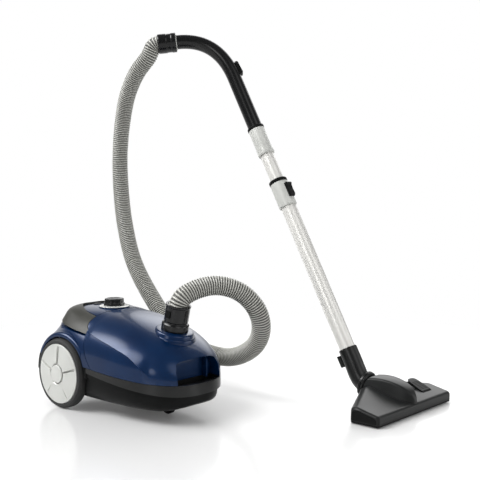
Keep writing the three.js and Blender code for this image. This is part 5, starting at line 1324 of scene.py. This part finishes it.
# %% The nozzle's shell, tongue and pedal
nozzle_hollow = cut(nozzle_form(WALL, -FAR), pedal_pocket(WALL))
nozzle_made = cut(nozzle_form(0, SOLE_TOP + GAP), nozzle_hollow, hump_form(-GAP), pedal_pocket(0),
                  pedal_pins(GAP), neck_room())
finished("smooth_nozzle", placed(nozzle_made, NOZZLE_PLACE), graphite_satin, "nozzle",
         ["nozzle_housing"])
for side, name in ((1, "left"), (-1, "right")):
    end_outline = [(x, z) for x, _, z in nozzle_section(
        side * (NOZZLE_HALF - 5), 3.4, SOLE_TOP + 2)]
    low, high = sorted((side * (NOZZLE_HALF - 2), side * (NOZZLE_HALF + 0.35)))
    finished(name + "_end_plate", placed(prism("y", end_outline, low, high), NOZZLE_PLACE),
             black_grained, "nozzle")
cover_made = cross(cut(hump_form(0), hump_form(WALL), neck_room(), neck_sweep()),
                   block(-FAR, FAR, -FAR, FAR, NOZZLE_LIP - 6, FAR))
finished("smooth_neck_cover", placed(cover_made, NOZZLE_PLACE), graphite_satin, "nozzle",
         ["neck_cover"])

pedal_side = rounded([(3.4, 0), (2, 3.6), (-34, 20.6), (-39, 22), (-41, 20), (-38, 16),
                      (-3, 0.4)], 1.4)
pedal_made = prism("y", [(PEDAL_X + x, PEDAL_Z + z) for x, z in pedal_side],
                   PEDAL_Y - PEDAL_HALF, PEDAL_Y + PEDAL_HALF)
pedal_plan = [(PEDAL_X + 6, PEDAL_Y - PEDAL_HALF - 1), (PEDAL_X + 6, PEDAL_Y + PEDAL_HALF + 1)]
pedal_plan += [(PEDAL_X - 26 - 15 * math.sin(a), PEDAL_Y + (PEDAL_HALF - 1.5) * math.cos(a))
               for a in (math.pi * k / 24 for k in range(25))]
pedal_made = cross(pedal_made, prism("z", pedal_plan, 0, 100))
for k in range(7):
    along_slope = 0.14 + 0.1 * k
    rib_x, rib_z = PEDAL_X + 2 - 36 * along_slope, PEDAL_Z + 3.6 + 17.0 * along_slope
    pedal_made = cut(pedal_made, rod("y", 1.1, PEDAL_Y - PEDAL_HALF + 3, PEDAL_Y + PEDAL_HALF - 3,
                                     at=(rib_x, 0, rib_z + 0.5), segments=20))
pedal_made = join(pedal_made, rod("y", 3.5, PEDAL_Y - PEDAL_HALF, PEDAL_Y + PEDAL_HALF,
                                  at=(PEDAL_X, 0, PEDAL_Z), segments=48), pedal_pins(0))
finished("ribbed_pedal", placed(pedal_made, NOZZLE_PLACE), black_grained, "floor_pedal",
         ["floor_pedal"])

# %% [markdown]
# ### Bristles
# Each strip is three rows of nylon bristles, held in the sole. They lean a little at random, about
# their roots, so the tips make a slightly uneven edge. Spacing and lean are inputs of the tree.

# %% Bristles
nylon = material(
    "black_nylon", {"Roughness": 0.4, "IOR": 1.53},
    grain(1.0, 0.004, rough=(0.34, 0.46), tint=(0x0c0c0c, 0x141414)))


def brush_tree():
    """A tree that hangs bristles from a line; its sizes are named inputs, in metres."""
    tree, sizes = new_tree("bristle_rows", ("Spacing", "Length", "Thickness", "Lean"))
    roots = stepped_curve(tree, sizes["Geometry"], sizes["Spacing"])
    bristle = node(tree, "GeometryNodeMeshCone", {
        "Vertices": 5, "Radius Top": sizes["Thickness"], "Radius Bottom": sizes["Thickness"],
        "Depth": sizes["Length"]})
    below = node(tree, "ShaderNodeCombineXYZ", {
        "Z": math_node(tree, "MULTIPLY", sizes["Length"], -1.0)})
    hung = node(tree, "GeometryNodeTransform", {
        "Geometry": bristle.outputs["Mesh"], "Translation": below.outputs["Vector"]})
    least = math_node(tree, "MULTIPLY", sizes["Lean"], -1.0)
    lowest = node(tree, "ShaderNodeCombineXYZ", {"X": least, "Y": least})
    highest = node(tree, "ShaderNodeCombineXYZ", {"X": sizes["Lean"], "Y": sizes["Lean"]})
    lean = node(tree, "FunctionNodeRandomValue", {
        0: lowest.outputs["Vector"], 1: highest.outputs["Vector"]}, data_type="FLOAT_VECTOR")
    rows = node(tree, "GeometryNodeInstanceOnPoints", {
        "Points": roots, "Instance": hung.outputs["Geometry"],
        "Rotation": lean.outputs["Value"]})
    return closed_tree(tree, rows.outputs["Instances"], nylon)

bristle_nodes = brush_tree()
for name, strip_x, strip_half in (("brush_front", 575, 128.5), ("brush_rear", 539, 110.5)):
    ends = [place(strip_x + row, NOZZLE_Y + end * strip_half, 8.6)
            for row in (-1.3, 0, 1.3) for end in (-1, 1)]
    wire = bpy.data.meshes.new(name + "_roots")
    wire.from_pydata(ends, [(0, 1), (2, 3), (4, 5)], [])
    piece = grown("bristles_of_" + name, wire, bristle_nodes, {
        "Spacing": 0.9 * MM, "Length": 7.8 * MM, "Thickness": 0.24 * MM, "Lean": 0.07})
    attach(piece, name)
    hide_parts(name.replace("brush_", "brush_strip_"))
    print(name, len(piece.data.polygons), "faces")

# %% [markdown]
# ## Finishes for the modelled solids
# Each solid whose shape is already right keeps its own mesh and only gets a finish, by the slot
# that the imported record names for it.

# %% Finish by slot
BY_SLOT = {
    "cover_blue": blue_lacquer, "base_black": black_grained, "gloss_black": black_polished,
    "handle_grey": grey_satin, "silver_plastic": silver_paint, "tube_metal": tube_steel,
    "hose_grey": hose_polymer, "nozzle_grey": graphite_satin, "soft_rubber": rubber,
    "steel": plain_steel, "foam": filter_fleece, "paper": bag_paper}
slot_of = {part["node"]: part["material_slot"] for part in frame["record"]["subparts"]}
for name, solid_object in frame["nodes"].items():
    solid_object.data.materials.clear()
    solid_object.data.materials.append(BY_SLOT[slot_of[name]])
print(len(slot_of), "solids dressed")

# %% [markdown]
# ## Floor and light
# The machine stands on a white sheet. Near it the sheet is shaded, so it carries the shadow and a
# faint reflection; farther out it fades to plain white for the camera and for reflections. The
# world is white to the camera too. What lights the machine is a dim surround with wide soft
# glows, whose edges are gentle in the lacquer, and two large lamps that reflections don't show.


# %% The floor
SHEET_NEAR, SHEET_FAR = 0.62, 1.25  # metres from the middle
SHEET_LIFT = 0.06  # light of its own, where the sheet is seen directly


def seen_directly(tree):
    """1 for the camera's, reflected and transmitted rays, and 0 for the light that it gives."""
    path = node(tree, "ShaderNodeLightPath")
    seen = math_node(tree, "MAXIMUM", path.outputs["Is Camera Ray"], path.outputs["Is Glossy Ray"])
    return math_node(tree, "MAXIMUM", seen, path.outputs["Is Transmission Ray"])


def white_sheet(tree, principled):
    seen = seen_directly(tree)
    tree.links.new(math_node(tree, "MULTIPLY", seen, SHEET_LIFT),
                   principled.inputs["Emission Strength"])
    away = node(tree, "ShaderNodeVectorMath", {0: object_place(tree)}, operation="LENGTH")
    fade = node(tree, "ShaderNodeMapRange", {
        "Value": away.outputs["Value"], "From Min": SHEET_NEAR, "From Max": SHEET_FAR},
        interpolation_type="SMOOTHSTEP")
    plain = node(tree, "ShaderNodeEmission", {"Color": colour(0xffffff), "Strength": 1.0})
    mixed = node(tree, "ShaderNodeMixShader", {
        0: math_node(tree, "MULTIPLY", seen, fade.outputs["Result"]),
        1: principled.outputs["BSDF"], 2: plain.outputs["Emission"]})
    tree.links.new(mixed.outputs["Shader"], tree.nodes["Material Output"].inputs["Surface"])


floor_white = material("white_floor", {
    "Base Color": colour(0xcdcdcd), "Roughness": 0.18, "Specular IOR Level": 0.5,
    "Emission Color": colour(0xffffff)}, white_sheet)
floor_mesh = bpy.data.meshes.new("floor")
floor_mesh.from_pydata(
    [(x, y, cad_low.z - 0.0005) for x, y in ((-20, -20), (20, -20), (20, 20), (-20, 20))],
    [], [(0, 1, 2, 3)])
floor_mesh.materials.append(floor_white)
floor = added("floor", floor_mesh)

# %% The world
SURROUND = 0.26
GLOWS = [  # direction, degrees at full strength and at none, strength
    ((-0.56, -0.49, 0.66), 5, 22, 12.0),
    ((-0.20, -0.63, 0.75), 3, 18, 8.0),
    ((-0.70, 0.66, 0.27), 8, 30, 0.9),
    ((-0.30, 0.74, 0.60), 8, 30, 3.0),
    ((0.74, 0.66, 0.10), 8, 30, 2.4),
    ((0.17, -0.93, 0.32), 2, 13, 4.0),
    ((0.80, -0.10, 0.60), 6, 26, 1.6)]
world = bpy.data.worlds.new("soft_surround")
world.use_nodes = True
bpy.context.scene.world = world
sky = world.node_tree
sky_way = node(sky, "ShaderNodeTexCoord").outputs["Generated"]
light_there = SURROUND
for way, inner, outer, strength in GLOWS:
    toward = node(sky, "ShaderNodeVectorMath", {0: sky_way, 1: tuple(Vector(way).normalized())},
                  operation="DOT_PRODUCT")
    glow = node(sky, "ShaderNodeMapRange", {
        "Value": toward.outputs["Value"], "From Min": math.cos(math.radians(outer)),
        "From Max": math.cos(math.radians(inner)), "To Min": 0.0, "To Max": strength},
        interpolation_type="SMOOTHSTEP")
    light_there = math_node(sky, "ADD", glow.outputs["Result"], light_there)
sky_path = node(sky, "ShaderNodeLightPath")
sky_seen = math_node(sky, "MAXIMUM", sky_path.outputs["Is Camera Ray"],
                     sky_path.outputs["Is Transmission Ray"])
unseen = math_node(sky, "MULTIPLY", math_node(sky, "SUBTRACT", 1.0, sky_seen), light_there)
sky.nodes["Background"].inputs["Color"].default_value = colour(0xffffff)
sky.links.new(math_node(sky, "ADD", sky_seen, unseen), sky.nodes["Background"].inputs["Strength"])


# %% The lamps
def lamp(name, spot, target, size, power):
    light = bpy.data.lights.new(name, "AREA")
    light.shape, light.size, light.energy = "DISK", size, power
    holder = added(name, light)
    holder.location = place(*spot)
    way = place(*target) - holder.location
    holder.rotation_euler = way.to_track_quat("-Z", "Y").to_euler()
    holder.visible_glossy = False


lamp("overhead", (0, 600, 2600), (150, 100, 200), 2.0, 10.0)
lamp("front", (1300, -2300, 1500), (150, 100, 250), 2.0, 5.0)
